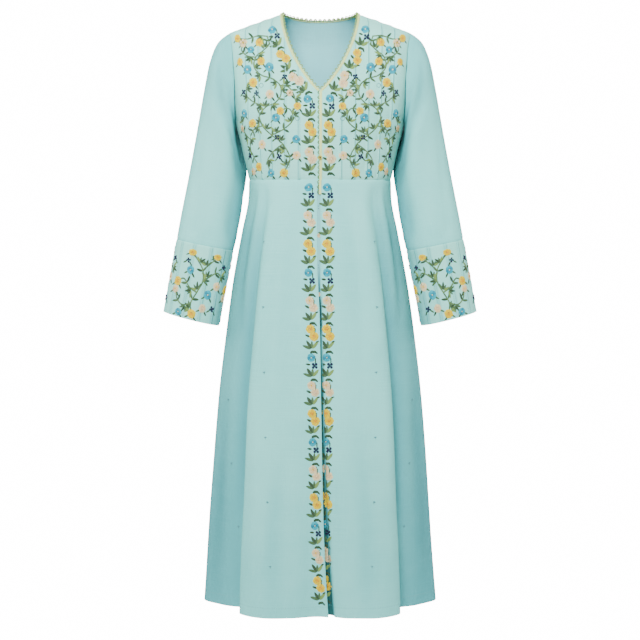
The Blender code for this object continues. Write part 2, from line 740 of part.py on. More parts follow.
def add_tube(name, sign, turns, stations, rise, colour, at_armhole=False):
    """A tube wall through rings of the sleeve. Sign is 1 for the wearer's left."""
    flat = tube_flat(turns, stations)
    middle = sleeve_point(flat)
    normal = -surface_normals(sleeve_point, flat, 1e-3)
    count = len(turns)
    middle = middle + normal * crease(-flat[:, 1], flat[:, 0])[:, None]
    if at_armhole:
        loop = middle[:count]
        run = np.roll(loop, -1, axis=0) - np.roll(loop, 1, axis=0)
        onward = np.cross(armhole_loop(turns, surface_normals), run)
        onward /= np.linalg.norm(onward, axis=1)[:, None]
        over = np.clip((normal[:count] * onward).sum(axis=1), 0.0, None)
        normal[:count] -= onward * over[:, None]
        normal[:count] /= np.linalg.norm(normal[:count], axis=1)[:, None]
        middle[:count] += onward * SEAM_GAP * 1.6
    outer = middle + normal * rise(flat[:, 0])[:, None]
    inner = middle - normal * CLOTH
    faces = [face[::-1] for face in grid_faces(count, len(stations), closed=True)]
    outer, right_faces = mirrored(outer, faces, sign)
    inner, _ = mirrored(inner, faces, sign)
    return add_wall(name, outer, inner, right_faces, colour)


def station_gap(station):
    """Half a seam gap along the sleeve, in stations."""
    here = sleeve_tube(np.array([station, station + 0.05]), np.array([0.0, 0.0]))
    return 0.05 * (SEAM_GAP / 2) / np.linalg.norm(here[1] - here[0])


def cuff_tuck_turns():
    """Four turns for each cuff tuck: its foot, its crest, its other foot and the plain cloth."""
    centres = (np.arange(CUFF_TUCKS) + 0.5) * 2 * math.pi / CUFF_TUCKS
    radius = 0.5 * (SLEEVE_SECTIONS["outer_x"][-1] - SLEEVE_SECTIONS["inner_x"][-1])
    reach = TUCK_HALF_WIDTH / radius
    steps = np.array((-reach, 0.0, reach, math.pi / CUFF_TUCKS))
    return centres, (centres[:, None] + steps).ravel()


def cuff_rise(turn):
    centres, feet = cuff_tuck_turns()
    reach = feet[1] - feet[0]
    away = np.abs(np.mod(turn, 2 * math.pi)[:, None] - centres).min(axis=1)
    return TUCK_HEIGHT * np.clip(1 - away / reach, 0.0, 1.0)


def add_sleeves():
    gap = station_gap(CUFF_STATION)
    rings = np.linspace(0.0, CUFF_STATION - gap, CUFF_STATION * RINGS_PER_STATION + 1)
    turns = np.linspace(0.0, 2 * math.pi, SLEEVE_COLUMNS + 1)[:-1]
    cuff_rings = np.linspace(CUFF_STATION + gap, CUFF_END_STATION, CUFF_ROWS + 1)
    for side, sign in (("left", 1), ("right", -1)):
        add_tube(f"sleeve_{side}", sign, turns, rings, np.zeros_like, AQUA,
                 at_armhole=True)
        add_tube(f"cuff_{side}", sign, cuff_tuck_turns()[1], cuff_rings, cuff_rise, AQUA_LIGHT)


# Edging


def resampled(rows, spacing):
    """Rows whose first three values are places on a line, evenly apart along it."""
    step = np.linalg.norm(np.diff(rows[:, :3], axis=0), axis=1)
    along = np.concatenate([[0.0], np.cumsum(step)])
    count = max(2, round(along[-1] / spacing))
    at = np.linspace(0.0, along[-1], count + 1)
    return np.stack([np.interp(at, along, rows[:, k]) for k in range(rows.shape[1])], 1)


def edging_rows(surface, flat, cloth_side):
    """For points along a cloth's edge: the place, the normal there, and both again a little
    way in on the cloth. Cloth side is 1 where the cloth lies to the left of the run."""
    line = surface(flat)
    normal = surface_normals(surface, flat)
    run = np.gradient(line, axis=0)
    inward = np.cross(normal, run) * cloth_side
    inward *= (EDGING_ON_CLOTH / np.linalg.norm(inward, axis=1))[:, None]
    step = 1e-4
    along = (surface(flat + (step, 0.0)) - line) / step
    up = (surface(flat + (0.0, step)) - line) / step
    moves = [
        np.linalg.lstsq(np.stack([a, u], axis=1), d, rcond=None)[0]
        for a, u, d in zip(along, up, inward)
    ]
    inner = flat + np.array(moves)
    return np.hstack([line, normal, surface(inner), surface_normals(surface, inner)])


def add_edging(name, rows):
    """A flat band over a cloth's edge, with picots that stand out past it."""
    line, normal, inner, inner_normal = np.split(rows, 4, axis=1)
    steps = np.arange(len(line))
    scallop = PICOT_HEIGHT * np.abs(np.sin(np.pi * steps / PICOT_STEPS)) ** 0.7
    side = line - inner
    side -= normal * (side * normal).sum(axis=1)[:, None]
    side /= np.linalg.norm(side, axis=1)[:, None]
    outer = line + side * (EDGING_PAST_EDGE + scallop)[:, None]
    low, high = LAID_ON, LAID_ON + EDGING_THICKNESS
    ring = [
        inner + inner_normal * low,
        outer + normal * low,
        outer + normal * high,
        inner + inner_normal * high,
    ]
    points = np.stack(ring, axis=1).reshape(-1, 3)
    faces = []
    for i in range(len(line) - 1):
        for k in range(4):
            a, b = 4 * i + k, 4 * i + (k + 1) % 4
            faces.append((a, b, b + 4, a + 4))
    last = 4 * (len(line) - 1)
    faces.append((3, 2, 1, 0))
    faces.append((last, last + 1, last + 2, last + 3))
    run = line[1] - line[0]
    if np.dot(np.cross(side[0], normal[0]), run) < 0:
        faces = [face[::-1] for face in faces]
    return add_object(name, points, faces, LIME)


def neckline_rows():
    """Rows from the V point up the wearer's left, round the back and down to the V again."""
    front = neck_line(90)[-4:0:-1]
    back = back_neck_flat(60) * (-1.0, 1.0)
    half = np.vstack([edging_rows(on_front, front, -1), edging_rows(on_back, back, -1)])
    flip = np.tile((-1.0, 1.0, 1.0), 4)
    rows = resampled(np.vstack([half, half[-2::-1] * flip]), PICOT_PITCH / PICOT_STEPS)
    return rows


def front_rows():
    """Rows down the centre front, from below the V point to a little below the waist seam."""
    height = np.linspace(V_POINT - 0.0005, WAIST, 40)
    bodice = np.stack([np.full(40, 0.0008), height], axis=1)
    below = np.linspace(WAIST - 0.001, FRONT_EDGING_END, 9)
    skirt = np.stack([np.full(9, 0.001), below], axis=1)
    rows = np.vstack(
        [edging_rows(on_front, bodice, 1), edging_rows(skirt_point, skirt, 1)]
    )
    return resampled(rows, PICOT_PITCH / PICOT_STEPS)


def add_edgings():
    add_edging("neck_edging", neckline_rows())
    add_edging("front_edging", front_rows())


def main():
    for obj in list(bpy.data.objects):
        bpy.data.objects.remove(obj)
    add_front_panel("bodice_front_left", 1, 0.0008)
    add_front_panel("bodice_front_right", -1, 0.0008)
    add_back_panel()
    add_skirt()
    add_underlap()
    add_sleeves()
    add_edgings()


main()
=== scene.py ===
# %% [markdown]
# # A long embroidered kurta tunic
#
# The tunic hangs as if somebody wore it, and nobody is in it. This lesson dresses the plain
# solids of the frame: every panel becomes a thin cloth with its creases, pintucks and weave,
# and then the thread work is sewn on. Lengths are metres. +Z is up, the front faces -Y and
# the wearer's left is +X. The origin lies midway between the two neck points.

# %% Load the frame
import math

import bpy
import numpy as np
from mathutils.geometry import delaunay_2d_cdt
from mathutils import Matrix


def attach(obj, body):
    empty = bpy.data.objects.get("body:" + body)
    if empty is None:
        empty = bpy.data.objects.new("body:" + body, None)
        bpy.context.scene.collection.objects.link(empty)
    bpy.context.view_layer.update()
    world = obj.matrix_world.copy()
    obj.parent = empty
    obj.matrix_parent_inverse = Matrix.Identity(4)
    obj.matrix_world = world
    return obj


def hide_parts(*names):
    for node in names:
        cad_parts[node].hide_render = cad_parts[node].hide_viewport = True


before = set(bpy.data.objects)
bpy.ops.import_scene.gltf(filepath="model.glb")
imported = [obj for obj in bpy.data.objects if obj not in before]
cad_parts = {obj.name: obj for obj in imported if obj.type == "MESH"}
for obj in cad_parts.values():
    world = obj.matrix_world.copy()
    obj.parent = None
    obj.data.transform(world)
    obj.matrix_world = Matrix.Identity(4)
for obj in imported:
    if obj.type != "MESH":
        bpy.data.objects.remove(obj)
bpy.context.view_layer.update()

# %% [markdown]
# The sizes are the ones that the garment was cut from. A table has a named column for each
# measure and a value for each height or station, and a smooth curve runs through the values.

# %% Driving sizes
SHOULDER_POINT = -0.038
UNDERARM = -0.214
WAIST = -0.333
HEM = -1.205
V_POINT = -0.160
BACK_NECK_DROP = 0.010
NECK_HALF_WIDTH = 0.077
SHOULDER_HALF_WIDTH = 0.183
SECTION_POWER = 2.2
ARMHOLE_WRAP = 0.0165
V_CURVE = (1.7, 1.15)

BODICE_SECTIONS = {
    "height": (0.000, -0.020, -0.038, -0.060, -0.100, -0.150, -0.214, -0.270, -0.333),
    "half_width": (0.077, 0.133, 0.183, 0.1785, 0.1740, 0.1705, 0.1700, 0.1585, 0.1445),
    "front_depth": (0.030, 0.048, 0.062, 0.074, 0.089, 0.108, 0.121, 0.119, 0.110),
    "back_depth": (0.050, 0.063, 0.073, 0.083, 0.094, 0.102, 0.104, 0.101, 0.096),
}
SKIRT_SECTIONS = {
    "height": (-0.333, -0.366, -0.440, -0.538, -0.637, -0.784, -0.981, -1.205),
    "half_width": (0.1445, 0.1452, 0.1590, 0.1780, 0.1922, 0.2100, 0.2252, 0.2412),
    "front_depth": (0.110, 0.111, 0.116, 0.122, 0.127, 0.134, 0.141, 0.148),
    "back_depth": (0.096, 0.099, 0.112, 0.127, 0.134, 0.142, 0.151, 0.160),
}
SKIRT_FOLDS = (
    # station, degrees, left x, left y, right x, right y
    ("centre_front", 0, 0.000, -0.131, 0.000, -0.131),
    ("front_panel", 14, 0.055, -0.146, 0.056, -0.145),
    ("front_ridge", 28, 0.111, -0.146, 0.110, -0.147),
    ("fold_edge", 42, 0.156, -0.113, 0.157, -0.112),
    ("fold_valley", 52, 0.151, -0.071, 0.150, -0.070),
    ("side_front", 67, 0.192, -0.048, 0.193, -0.047),
    ("side_seam", 90, 0.235, -0.003, 0.235, -0.003),
    ("side_back", 112, 0.213, 0.056, 0.216, 0.054),
    ("back_valley", 128, 0.161, 0.082, 0.168, 0.084),
    ("back_ridge", 142, 0.140, 0.136, 0.148, 0.132),
    ("back_panel", 160, 0.078, 0.153, 0.070, 0.156),
    ("centre_back", 180, 0.000, 0.143, 0.000, 0.143),
)
SIDE_STATION = 6
BACK_STATION = 11
LAP = 22
FOLD_GROWTH = 1.25
HEM_FLARE = 1.027
SLIT_EDGES = {
    "height": (-0.333, -0.360, -0.500, -0.600, -0.800, -1.000, -1.120, -1.205),
    "right_x": (-0.0010, -0.0058, -0.0052, -0.0008, 0.0025, 0.0068, 0.0120, 0.0180),
    "left_x": (0.0008, 0.0008, 0.0008, 0.0008, -0.0010, -0.0040, -0.0065, -0.0080),
    "lift": (0.0000, 0.0000, 0.0000, 0.0004, 0.0022, 0.0032, 0.0040, 0.0045),
}
LAP_WIDTH = 0.060
UNDERLAP = {"top": -0.336, "bottom": -0.620, "left_x": 0.012, "right_x": -0.016}
SLEEVE_SECTIONS = {
    "station": ("armhole", "cap", "upper_arm", "biceps", "above_elbow",
                "elbow", "forearm", "cuff_seam", "cuff_end"),
    "outer_x": (0.1830, 0.2065, 0.2225, 0.2345, 0.2470, 0.2655, 0.2850, 0.2920, 0.3188),
    "outer_z": (-0.038, -0.058, -0.095, -0.150, -0.218, -0.317, -0.415, -0.4535, -0.600),
    "inner_x": (0.1700, 0.1690, 0.1610, 0.1535, 0.1475, 0.1500, 0.1675, 0.1760, 0.2060),
    "inner_z": (-0.214, -0.226, -0.243, -0.268, -0.300, -0.345, -0.440, -0.4765, -0.629),
    "middle_y": (0.000, 0.002, 0.004, 0.006, 0.006, 0.002, -0.005, -0.008, -0.020),
    "half_depth": (0.045, 0.055, 0.059, 0.058, 0.054, 0.049, 0.046, 0.045, 0.044),
}
SLEEVE_CLEARANCE = 0.0012
ARMHOLE_FADE = 2.2
CUFF_STATION = 7
CUFF_END_STATION = 8
print("shoulder to hem", round(-HEM, 3), "m")

# %% Curves through the tables


def curve_value(places, values, at):
    """A smooth curve through the table's points that never overshoots them."""
    places = np.asarray(places, float)
    values = np.asarray(values, float)
    at = np.asarray(at, float)
    if places[0] > places[-1]:
        places, values = places[::-1], values[::-1]
    step = np.diff(places)
    slope = np.diff(values) / step
    tangent = np.zeros(len(places))
    tangent[0], tangent[-1] = slope[0], slope[-1]
    same = slope[:-1] * slope[1:] > 0
    safe = np.where(same, slope[:-1] + slope[1:], 1.0)
    tangent[1:-1] = np.where(same, 2 * slope[:-1] * slope[1:] / safe, 0.0)
    i = np.clip(np.searchsorted(places, at, side="right") - 1, 0, len(step) - 1)
    h = step[i]
    t = np.clip((at - places[i]) / h, 0.0, 1.0)
    return (
        values[i] * (2 * t**3 - 3 * t**2 + 1)
        + tangent[i] * h * (t**3 - 2 * t**2 + t)
        + values[i + 1] * (3 * t**2 - 2 * t**3)
        + tangent[i + 1] * h * (t**3 - t**2)
    )


def ease(t):
    """0 to 1, level at both ends."""
    t = np.clip(t, 0.0, 1.0)
    return t * t * (3 - 2 * t)


def column(table, name, height):
    return curve_value(table["height"], table[name], height)


def surface_normals(surface, flat, step=1e-4):
    """Unit normals of a surface at flat points, from small steps each way."""
    along = surface(flat + (step, 0.0)) - surface(flat - (step, 0.0))
    up = surface(flat + (0.0, step)) - surface(flat - (0.0, step))
    normal = np.cross(along, up)
    return normal / np.linalg.norm(normal, axis=1)[:, None]


# %% [markdown]
# ## The form under the cloth
#
# Each surface is a function from two flat numbers to a place in space. On the bodice they
# are the distance round from the middle and the height, so a pattern that is drawn flat, as
# a maker draws it on the cloth, lands on the body without stretching. The same functions
# later carry every stitch.

# %% The bodice's form
ARC_SAMPLES = 65


def form_half_width(height):
    """The form's half width. Beside an armhole it goes on past the armhole's edge."""
    share = (SHOULDER_POINT - height) / (SHOULDER_POINT - UNDERARM)
    wrap = ARMHOLE_WRAP * np.sin(np.pi * np.clip(share, 0.0, 1.0)) ** 0.8
    slope = (SHOULDER_HALF_WIDTH - NECK_HALF_WIDTH) / SHOULDER_POINT
    shoulder = NECK_HALF_WIDTH + slope * height
    below = column(BODICE_SECTIONS, "half_width", height)
    return np.where(height > SHOULDER_POINT, shoulder, below + wrap)


def quarter_section(half_width, depth):
    """Points of a quarter of each section, from its middle to its side, and their arc lengths."""
    turn = np.linspace(0.0, math.pi / 2, ARC_SAMPLES)
    across = half_width[:, None] * np.sin(turn) ** (2 / SECTION_POWER)
    out = depth[:, None] * np.abs(np.cos(turn)) ** (2 / SECTION_POWER)
    out[:, -1] = 0.0
    step = np.hypot(np.diff(across, axis=1), np.diff(out, axis=1))
    arc = np.concatenate([np.zeros((len(step), 1)), np.cumsum(step, axis=1)], axis=1)
    return across, out, arc


def between_samples(known, wanted, *found):
    """Row by row, the values of each found table where known reaches wanted."""
    rows = np.arange(len(wanted))
    i = np.clip((known < wanted[:, None]).sum(axis=1) - 1, 0, ARC_SAMPLES - 2)
    low, high = known[rows, i], known[rows, i + 1]
    t = np.clip((wanted - low) / np.maximum(high - low, 1e-9), 0.0, 1.0)
    return [table[rows, i] * (1 - t) + table[rows, i + 1] * t for table in found]


def form_quarter(height, front):
    side = "front_depth" if front else "back_depth"
    return quarter_section(form_half_width(height), column(BODICE_SECTIONS, side, height))


def form_point(flat, front):
    """The place on the form of points (arc from the middle, height)."""
    arc, height = np.asarray(flat, float).T
    across, out, length = form_quarter(height, front)
    x, y = between_samples(length, np.abs(arc), across, out)
    x = np.sign(arc) * x
    return np.stack([x, -y, height] if front else [-x, y, height], axis=1)


def on_front(flat):
    return form_point(flat, True)


def on_back(flat):
    return form_point(flat, False)


def arc_at(x, height, front):
    """The arc length from the middle to the place that is x wide of it."""
    across, _, length = form_quarter(height, front)
    return between_samples(across, np.asarray(x, float), length)[0]


def side_arc(height, front):
    return form_quarter(np.atleast_1d(height), front)[2][:, -1]


print("bodice front, side to side at the underarm", round(2 * side_arc(UNDERARM, True)[0], 3))

# %% Seam lines of the bodice in flat coordinates


def neck_x(height):
    """Half the width of the V neckline at a height."""
    share = np.clip(height / V_POINT, 0.0, 1.0)
    return NECK_HALF_WIDTH * (1 - share ** V_CURVE[0]) ** (1 / V_CURVE[1])


def back_neck_height(x):
    return -BACK_NECK_DROP * (1 - (np.abs(x) / NECK_HALF_WIDTH) ** 2)


def armhole_flat(turn, front):
    """Half an armhole, for turns from 0 at the shoulder to pi at the underarm."""
    height = SHOULDER_POINT + (UNDERARM - SHOULDER_POINT) * (1 - np.cos(turn)) / 2
    x = column(BODICE_SECTIONS, "half_width", height)
    return np.stack([arc_at(x, height, front), height], axis=1)


def side_seam_flat(front, count):
    height = np.linspace(UNDERARM, WAIST, count + 1)[1:-1]
    return np.stack([side_arc(height, front), height], axis=1)


def shoulder_flat(front, count):
    """The shoulder seam from the armhole to the neck."""
    height = np.linspace(SHOULDER_POINT, -0.00005, 120)
    arc = side_arc(height, front)
    arcs = np.linspace(arc[0], arc[-1], count)
    return np.stack([arcs, np.interp(arcs, arc[::-1], height[::-1])], axis=1)


def neck_line(count):
    """The V neckline from the neck point to the V point, in even steps through space."""
    height = V_POINT * np.linspace(0.12, 1.0, 400) ** 5
    flat = np.stack([arc_at(neck_x(height), height, True), height], axis=1)
    step = np.linalg.norm(np.diff(on_front(flat), axis=0), axis=1)
    along = np.concatenate([[0.0], np.cumsum(step)])
    at = np.linspace(0.0, along[-1], count + 1)
    return np.stack([np.interp(at, along, flat[:, k]) for k in range(2)], axis=1)


def back_neck_flat(count):
    """The back neckline from the neck point to the centre back."""
    turn = np.linspace(math.pi / 2, 0.0, count + 1)[1:]
    x = NECK_HALF_WIDTH * np.sin(turn) ** (2 / SECTION_POWER)
    height = back_neck_height(x) - 0.00002
    return np.stack([arc_at(x, height, False), height], axis=1)


# %% The skirt's form


def fold_loop():
    """The folded hem as a closed loop of stations, and each station's angle."""
    left = [(row[2], row[3]) for row in SKIRT_FOLDS]
    right = [(-row[4], row[5]) for row in SKIRT_FOLDS]
    degrees = [row[1] for row in SKIRT_FOLDS]
    loop = np.array(left + right[-2:0:-1]) * (HEM_FLARE, 1.0)
    angles = np.array(degrees + [360 - d for d in degrees[-2:0:-1]], float)
    return loop, angles


def loop_value(values, at, turn=None):
    """A smooth closed curve through the values of whole stations. Turn is one full lap."""
    count = len(values)
    i = np.floor(at).astype(int)
    t = (at - i)[:, None]
    values = np.asarray(values, float).reshape(count, -1)

    def station(k):
        lap = (turn or 0.0) * (k // count)
        return values[k % count] + np.asarray(lap)[:, None]

    p0, p1, p2, p3 = (station(i + k) for k in (-1, 0, 1, 2))
    return 0.5 * (
        2 * p1
        + (p2 - p0) * t
        + (2 * p0 - 5 * p1 + 4 * p2 - p3) * t**2
        + (3 * p1 - p0 - 3 * p2 + p3) * t**3
    )


def skirt_point(flat):
    """The place on the skirt of points (station round it, height)."""
    station, height = np.asarray(flat, float).T
    half_width = column(SKIRT_SECTIONS, "half_width", height)
    front = column(SKIRT_SECTIONS, "front_depth", height)
    back = column(SKIRT_SECTIONS, "back_depth", height)
    loop, angles = fold_loop()
    turn = np.radians(loop_value(angles, station, 360.0)[:, 0])
    power = 2 / SECTION_POWER
    sine, cosine = np.sin(turn), np.cos(turn)
    depth = np.where(cosine > 0, front, back)
    smooth_x = half_width * np.sign(sine) * np.abs(sine) ** power
    smooth_y = -depth * np.sign(cosine) * np.abs(cosine) ** power
    folded = loop_value(loop, station)
    width_share = half_width / SKIRT_SECTIONS["half_width"][-1]
    front_share = front / SKIRT_SECTIONS["front_depth"][-1]
    back_share = back / SKIRT_SECTIONS["back_depth"][-1]
    depth_share = np.where(folded[:, 1] < 0, front_share, back_share)
    grown = np.clip((WAIST - height) / (WAIST - HEM), 0.0, 1.0) ** FOLD_GROWTH
    x = smooth_x * (1 - grown) + folded[:, 0] * width_share * grown
    y = smooth_y * (1 - grown) + folded[:, 1] * depth_share * grown
    return np.stack([x, y, height], axis=1)


def slit_station(x, height):
    """The station near the centre front whose x is the one given, at each height."""
    near = np.linspace(-0.6, 0.6, 25)
    flat = np.array([(s, h) for h in height for s in near])
    found = skirt_point(flat)[:, 0].reshape(len(height), len(near))
    return np.array([np.interp(x[i], found[i], near) for i in range(len(height))])


# %% The sleeve's form


def sleeve_column(name, station):
    places = np.arange(len(SLEEVE_SECTIONS["station"]))
    return curve_value(places, SLEEVE_SECTIONS[name], station)


def sleeve_tube(station, turn):
    """The sleeve's rounded tube. Turn is 0 at its outer edge and a quarter lap at its front."""
    outer = np.stack([sleeve_column("outer_x", station), sleeve_column("outer_z", station)], 1)
    inner = np.stack([sleeve_column("inner_x", station), sleeve_column("inner_z", station)], 1)
    half = (outer - inner) / 2
    centre = (outer + inner) / 2
    power = 2 / SECTION_POWER
    cosine = np.sign(np.cos(turn)) * np.abs(np.cos(turn)) ** power
    sine = np.sign(np.sin(turn)) * np.abs(np.sin(turn)) ** power
    x, z = (centre + half * cosine[:, None]).T
    y = sleeve_column("middle_y", station) - sleeve_column("half_depth", station) * sine
    return np.stack([x, y, z], axis=1)


def armhole_loop(turn):
    """The bodice's armhole in space, at the same turns as the sleeve's tube."""
    lap = np.mod(turn, 2 * math.pi)
    front = lap <= math.pi
    half = np.where(front, lap, 2 * math.pi - lap)
    ahead = on_front(armhole_flat(half, True))
    behind = on_back(armhole_flat(half, False) * (-1.0, 1.0))
    return np.where(front[:, None], ahead, behind)


def clear_of_bodice(points, station):
    """Push points of the sleeve out sideways to where they just clear the bodice."""
    x, y, z = points.T
    height = np.clip(z, WAIST, -0.001)
    side = [column(BODICE_SECTIONS, name, height) for name in ("front_depth", "back_depth")]
    depth = np.where(y < 0, side[0], side[1])
    inward = np.clip(1 - (np.abs(y) / depth) ** SECTION_POWER, 0.0, 1.0)
    body = form_half_width(height) * inward ** (1 / SECTION_POWER)
    grown = np.clip(station, 0.0, 1.0)
    short = body + SLEEVE_CLEARANCE * grown - x
    soft = 0.0015 * grown
    return points + np.stack([(short + np.hypot(short, soft)) / 2, 0 * x, 0 * x], axis=1)


def sleeve_point(flat):
    """The place on the left sleeve of points (turn in radians, minus the station)."""
    turn, station = flat[:, 0], -flat[:, 1]
    zero = np.zeros(len(turn))
    fade = 1 - ease(station / ARMHOLE_FADE)
    blended = sleeve_tube(station, turn) + fade[:, None] * (
        armhole_loop(turn) - sleeve_tube(zero, turn)
    )
    return clear_of_bodice(blended, station)


# %% [markdown]
# ## Creases, tucks and seams
#
# Hanging cloth shows long soft folds, short drag lines beside the armholes and the waist
# seam, and a shallow groove along every seam. A row of a table is one crease: where it
# starts and ends in flat coordinates, how far it bows sideways at its middle, its width and
# its depth. A crease is added to the form as a soft trough or ridge, so it stays smooth, and
# it is listed rather than simulated because the photograph shows where each one lies.

# %% Crease tables
BODICE_CREASES = (
    # start across, start up, end across, end up, bow, width, depth
    (0.196, -0.205, 0.128, -0.172, 0.006, 0.010, -0.0022),
    (0.200, -0.224, 0.120, -0.216, -0.006, 0.012, 0.0016),
    (0.188, -0.246, 0.112, -0.268, 0.008, 0.013, -0.0019),
    (0.172, -0.060, 0.196, -0.128, -0.006, 0.009, -0.0018),
    (0.150, -0.052, 0.166, -0.118, 0.004, 0.010, 0.0012),
    (0.046, -0.236, 0.022, -0.326, 0.004, 0.012, -0.0014),
    (0.150, -0.328, 0.128, -0.270, 0.003, 0.010, 0.0016),
    (0.082, -0.330, 0.094, -0.286, 0.003, 0.009, -0.0012),
)
BACK_CREASES = (
    # start across, start up, end across, end up, bow, width, depth
    (0.196, -0.196, 0.096, -0.150, 0.010, 0.014, -0.0030),
    (-0.198, -0.204, -0.088, -0.164, -0.009, 0.014, -0.0027),
    (0.190, -0.236, 0.070, -0.262, -0.012, 0.018, -0.0030),
    (-0.186, -0.244, -0.060, -0.254, 0.010, 0.017, -0.0034),
    (0.150, -0.290, 0.020, -0.300, 0.010, 0.015, -0.0026),
    (-0.148, -0.284, -0.016, -0.312, -0.010, 0.016, -0.0022),
    (0.060, -0.044, 0.130, -0.094, 0.008, 0.014, 0.0016),
    (-0.058, -0.046, -0.128, -0.100, -0.008, 0.014, 0.0018),
    (0.030, -0.210, 0.042, -0.324, 0.006, 0.016, 0.0020),
    (-0.034, -0.226, -0.030, -0.326, -0.006, 0.016, 0.0018),
)
SKIRT_CREASES = (
    # start station, start height, end station, end height, bow, width in stations, depth
    (1.05, -0.320, 1.55, -0.800, 0.18, 0.60, -0.0018),
    (2.30, -0.280, 2.60, -1.000, 0.10, 0.60, 0.0050),
    (3.30, -0.333, 3.85, -1.060, 0.10, 0.55, -0.0110),
    (4.30, -0.336, 4.45, -0.620, 0.12, 0.30, 0.0030),
    (4.80, -0.340, 4.60, -0.640, 0.14, 0.36, -0.0030),
    (0.60, -0.900, 0.75, -1.230, 0.10, 0.30, 0.0022),
    (1.40, -0.820, 1.60, -1.230, 0.16, 0.36, -0.0036),
    (2.45, -0.700, 2.55, -1.230, 0.10, 0.30, 0.0030),
    (5.30, -0.720, 5.45, -1.230, 0.12, 0.34, -0.0042),
    (20.95, -0.320, 20.40, -0.830, -0.16, 0.60, -0.0016),
    (19.65, -0.280, 19.40, -0.980, -0.10, 0.60, 0.0048),
    (18.72, -0.333, 18.17, -1.050, -0.10, 0.55, -0.0110),
    (17.75, -0.336, 17.60, -0.600, -0.12, 0.30, 0.0028),
    (17.25, -0.340, 17.40, -0.660, -0.12, 0.36, -0.0028),
    (21.30, -0.880, 21.20, -1.230, 0.10, 0.30, 0.0024),
    (20.55, -0.860, 20.35, -1.230, -0.16, 0.36, -0.0034),
    (19.50, -0.740, 19.45, -1.230, 0.10, 0.30, 0.0028),
    (16.75, -0.760, 16.60, -1.230, -0.12, 0.34, -0.0040),
    (9.95, -0.338, 9.55, -0.780, 0.14, 0.36, -0.0044),
    (11.10, -0.338, 10.95, -0.860, -0.20, 0.44, -0.0036),
    (12.10, -0.338, 12.45, -0.760, 0.16, 0.36, -0.0044),
    (10.55, -0.336, 10.45, -0.580, 0.10, 0.28, 0.0030),
    (11.65, -0.336, 11.70, -0.620, -0.10, 0.28, 0.0028),
    (7.40, -0.340, 7.60, -0.680, 0.14, 0.34, -0.0034),
    (14.60, -0.340, 14.40, -0.640, -0.12, 0.34, -0.0036),
    (10.30, -0.780, 10.20, -1.230, 0.14, 0.34, -0.0046),
    (11.75, -0.820, 11.90, -1.230, -0.12, 0.34, -0.0042),
    (8.50, -0.760, 8.55, -1.230, 0.10, 0.34, 0.0028),
    (13.55, -0.800, 13.50, -1.230, 0.10, 0.34, 0.0026),
)
SLEEVE_CREASES = (
    # start station, end station, degrees round at start and at end, width in degrees, depth
    (0.6, 6.4, 146, 152, 24, -0.0090),
    (1.0, 3.6, 62, 88, 17, -0.0040),
    (2.2, 5.2, 104, 142, 18, -0.0060),
    (2.8, 5.6, 78, 116, 18, 0.0035),
    (4.6, 6.9, 118, 150, 16, -0.0040),
    (1.2, 3.4, 262, 286, 20, -0.0045),
    (3.2, 5.8, 250, 222, 18, -0.0050),
)
SLEEVE_SMALL_CREASES = (
    # start station, end station, degrees round at start and at end, width in degrees, depth
    (0.3, 2.0, 28, 20, 8, -0.0016),
    (0.2, 1.6, 118, 96, 9, -0.0020),
    (0.3, 1.8, 318, 332, 9, -0.0016),
    (3.6, 6.2, 36, 62, 10, -0.0020),
    (5.2, 6.9, 92, 84, 9, 0.0016),
    (5.6, 6.95, 60, 70, 8, -0.0016),
    (4.4, 5.8, 168, 196, 13, -0.0034),
    (5.0, 6.2, 214, 186, 12, -0.0030),
    (3.4, 4.6, 188, 214, 12, 0.0010),
    (5.4, 6.9, 292, 300, 10, -0.0018),
    (2.0, 3.8, 320, 300, 10, 0.0018),
    (5.9, 6.98, 330, 345, 8, -0.0014),
)
CUFF_CREASES = (
    # start station, end station, degrees round at start and at end, width in degrees, depth
    (7.05, 7.9, 50, 62, 14, -0.0014),
    (7.1, 8.2, 128, 116, 15, -0.0018),
    (7.05, 7.7, 205, 230, 16, -0.0020),
    (7.2, 8.2, 300, 292, 15, 0.0016),
)
print(len(SKIRT_CREASES) + 2 * len(BODICE_CREASES) + len(BACK_CREASES), "soft creases on the body")

# %% How a crease moves the cloth


def crease_depth(flat, rows):
    """How far the creases of a table move points out. Each fades towards its ends."""
    total = np.zeros(len(flat))
    for start_a, start_b, end_a, end_b, bow, width, depth in rows:
        start, run = np.array((start_a, start_b)), np.array((end_a - start_a, end_b - start_b))
        if abs(run[1]) > 0.6 * abs(run[0]):
            share = (flat[:, 1] - start[1]) / run[1]
            away = flat[:, 0] - start[0] - run[0] * share
        else:
            share = (flat[:, 0] - start[0]) / run[0]
            away = flat[:, 1] - start[1] - run[1] * share
        inside = np.clip(share, 0.0, 1.0)
        away = away - bow * np.sin(np.pi * inside)
        along = np.sin(np.pi * inside) ** 0.8
        total += depth * along * np.exp(-((away / width) ** 2))
    return total


def tube_crease_depth(station, turn, rows):
    """The same round a sleeve, where across is measured in degrees."""
    degrees = np.degrees(np.mod(turn, 2 * math.pi))
    total = np.zeros(len(station))
    for start, end, round_start, round_end, width, depth in rows:
        share = (station - start) / (end - start)
        middle = round_start + (round_end - round_start) * share
        away = np.mod(degrees - middle + 180, 360) - 180
        along = np.sin(np.pi * np.clip(share, 0.0, 1.0)) ** 1.5
        total += depth * np.exp(-((away / width) ** 2)) * along
    return total


def unevenness(flat, waves, size):
    """A gentle unevenness from a few crossed waves: (across, up, phase) for each."""
    total = np.zeros(len(flat))
    for across, up, phase in waves:
        total += np.sin(across * flat[:, 0] + up * flat[:, 1] + phase)
    return size * total / len(waves)


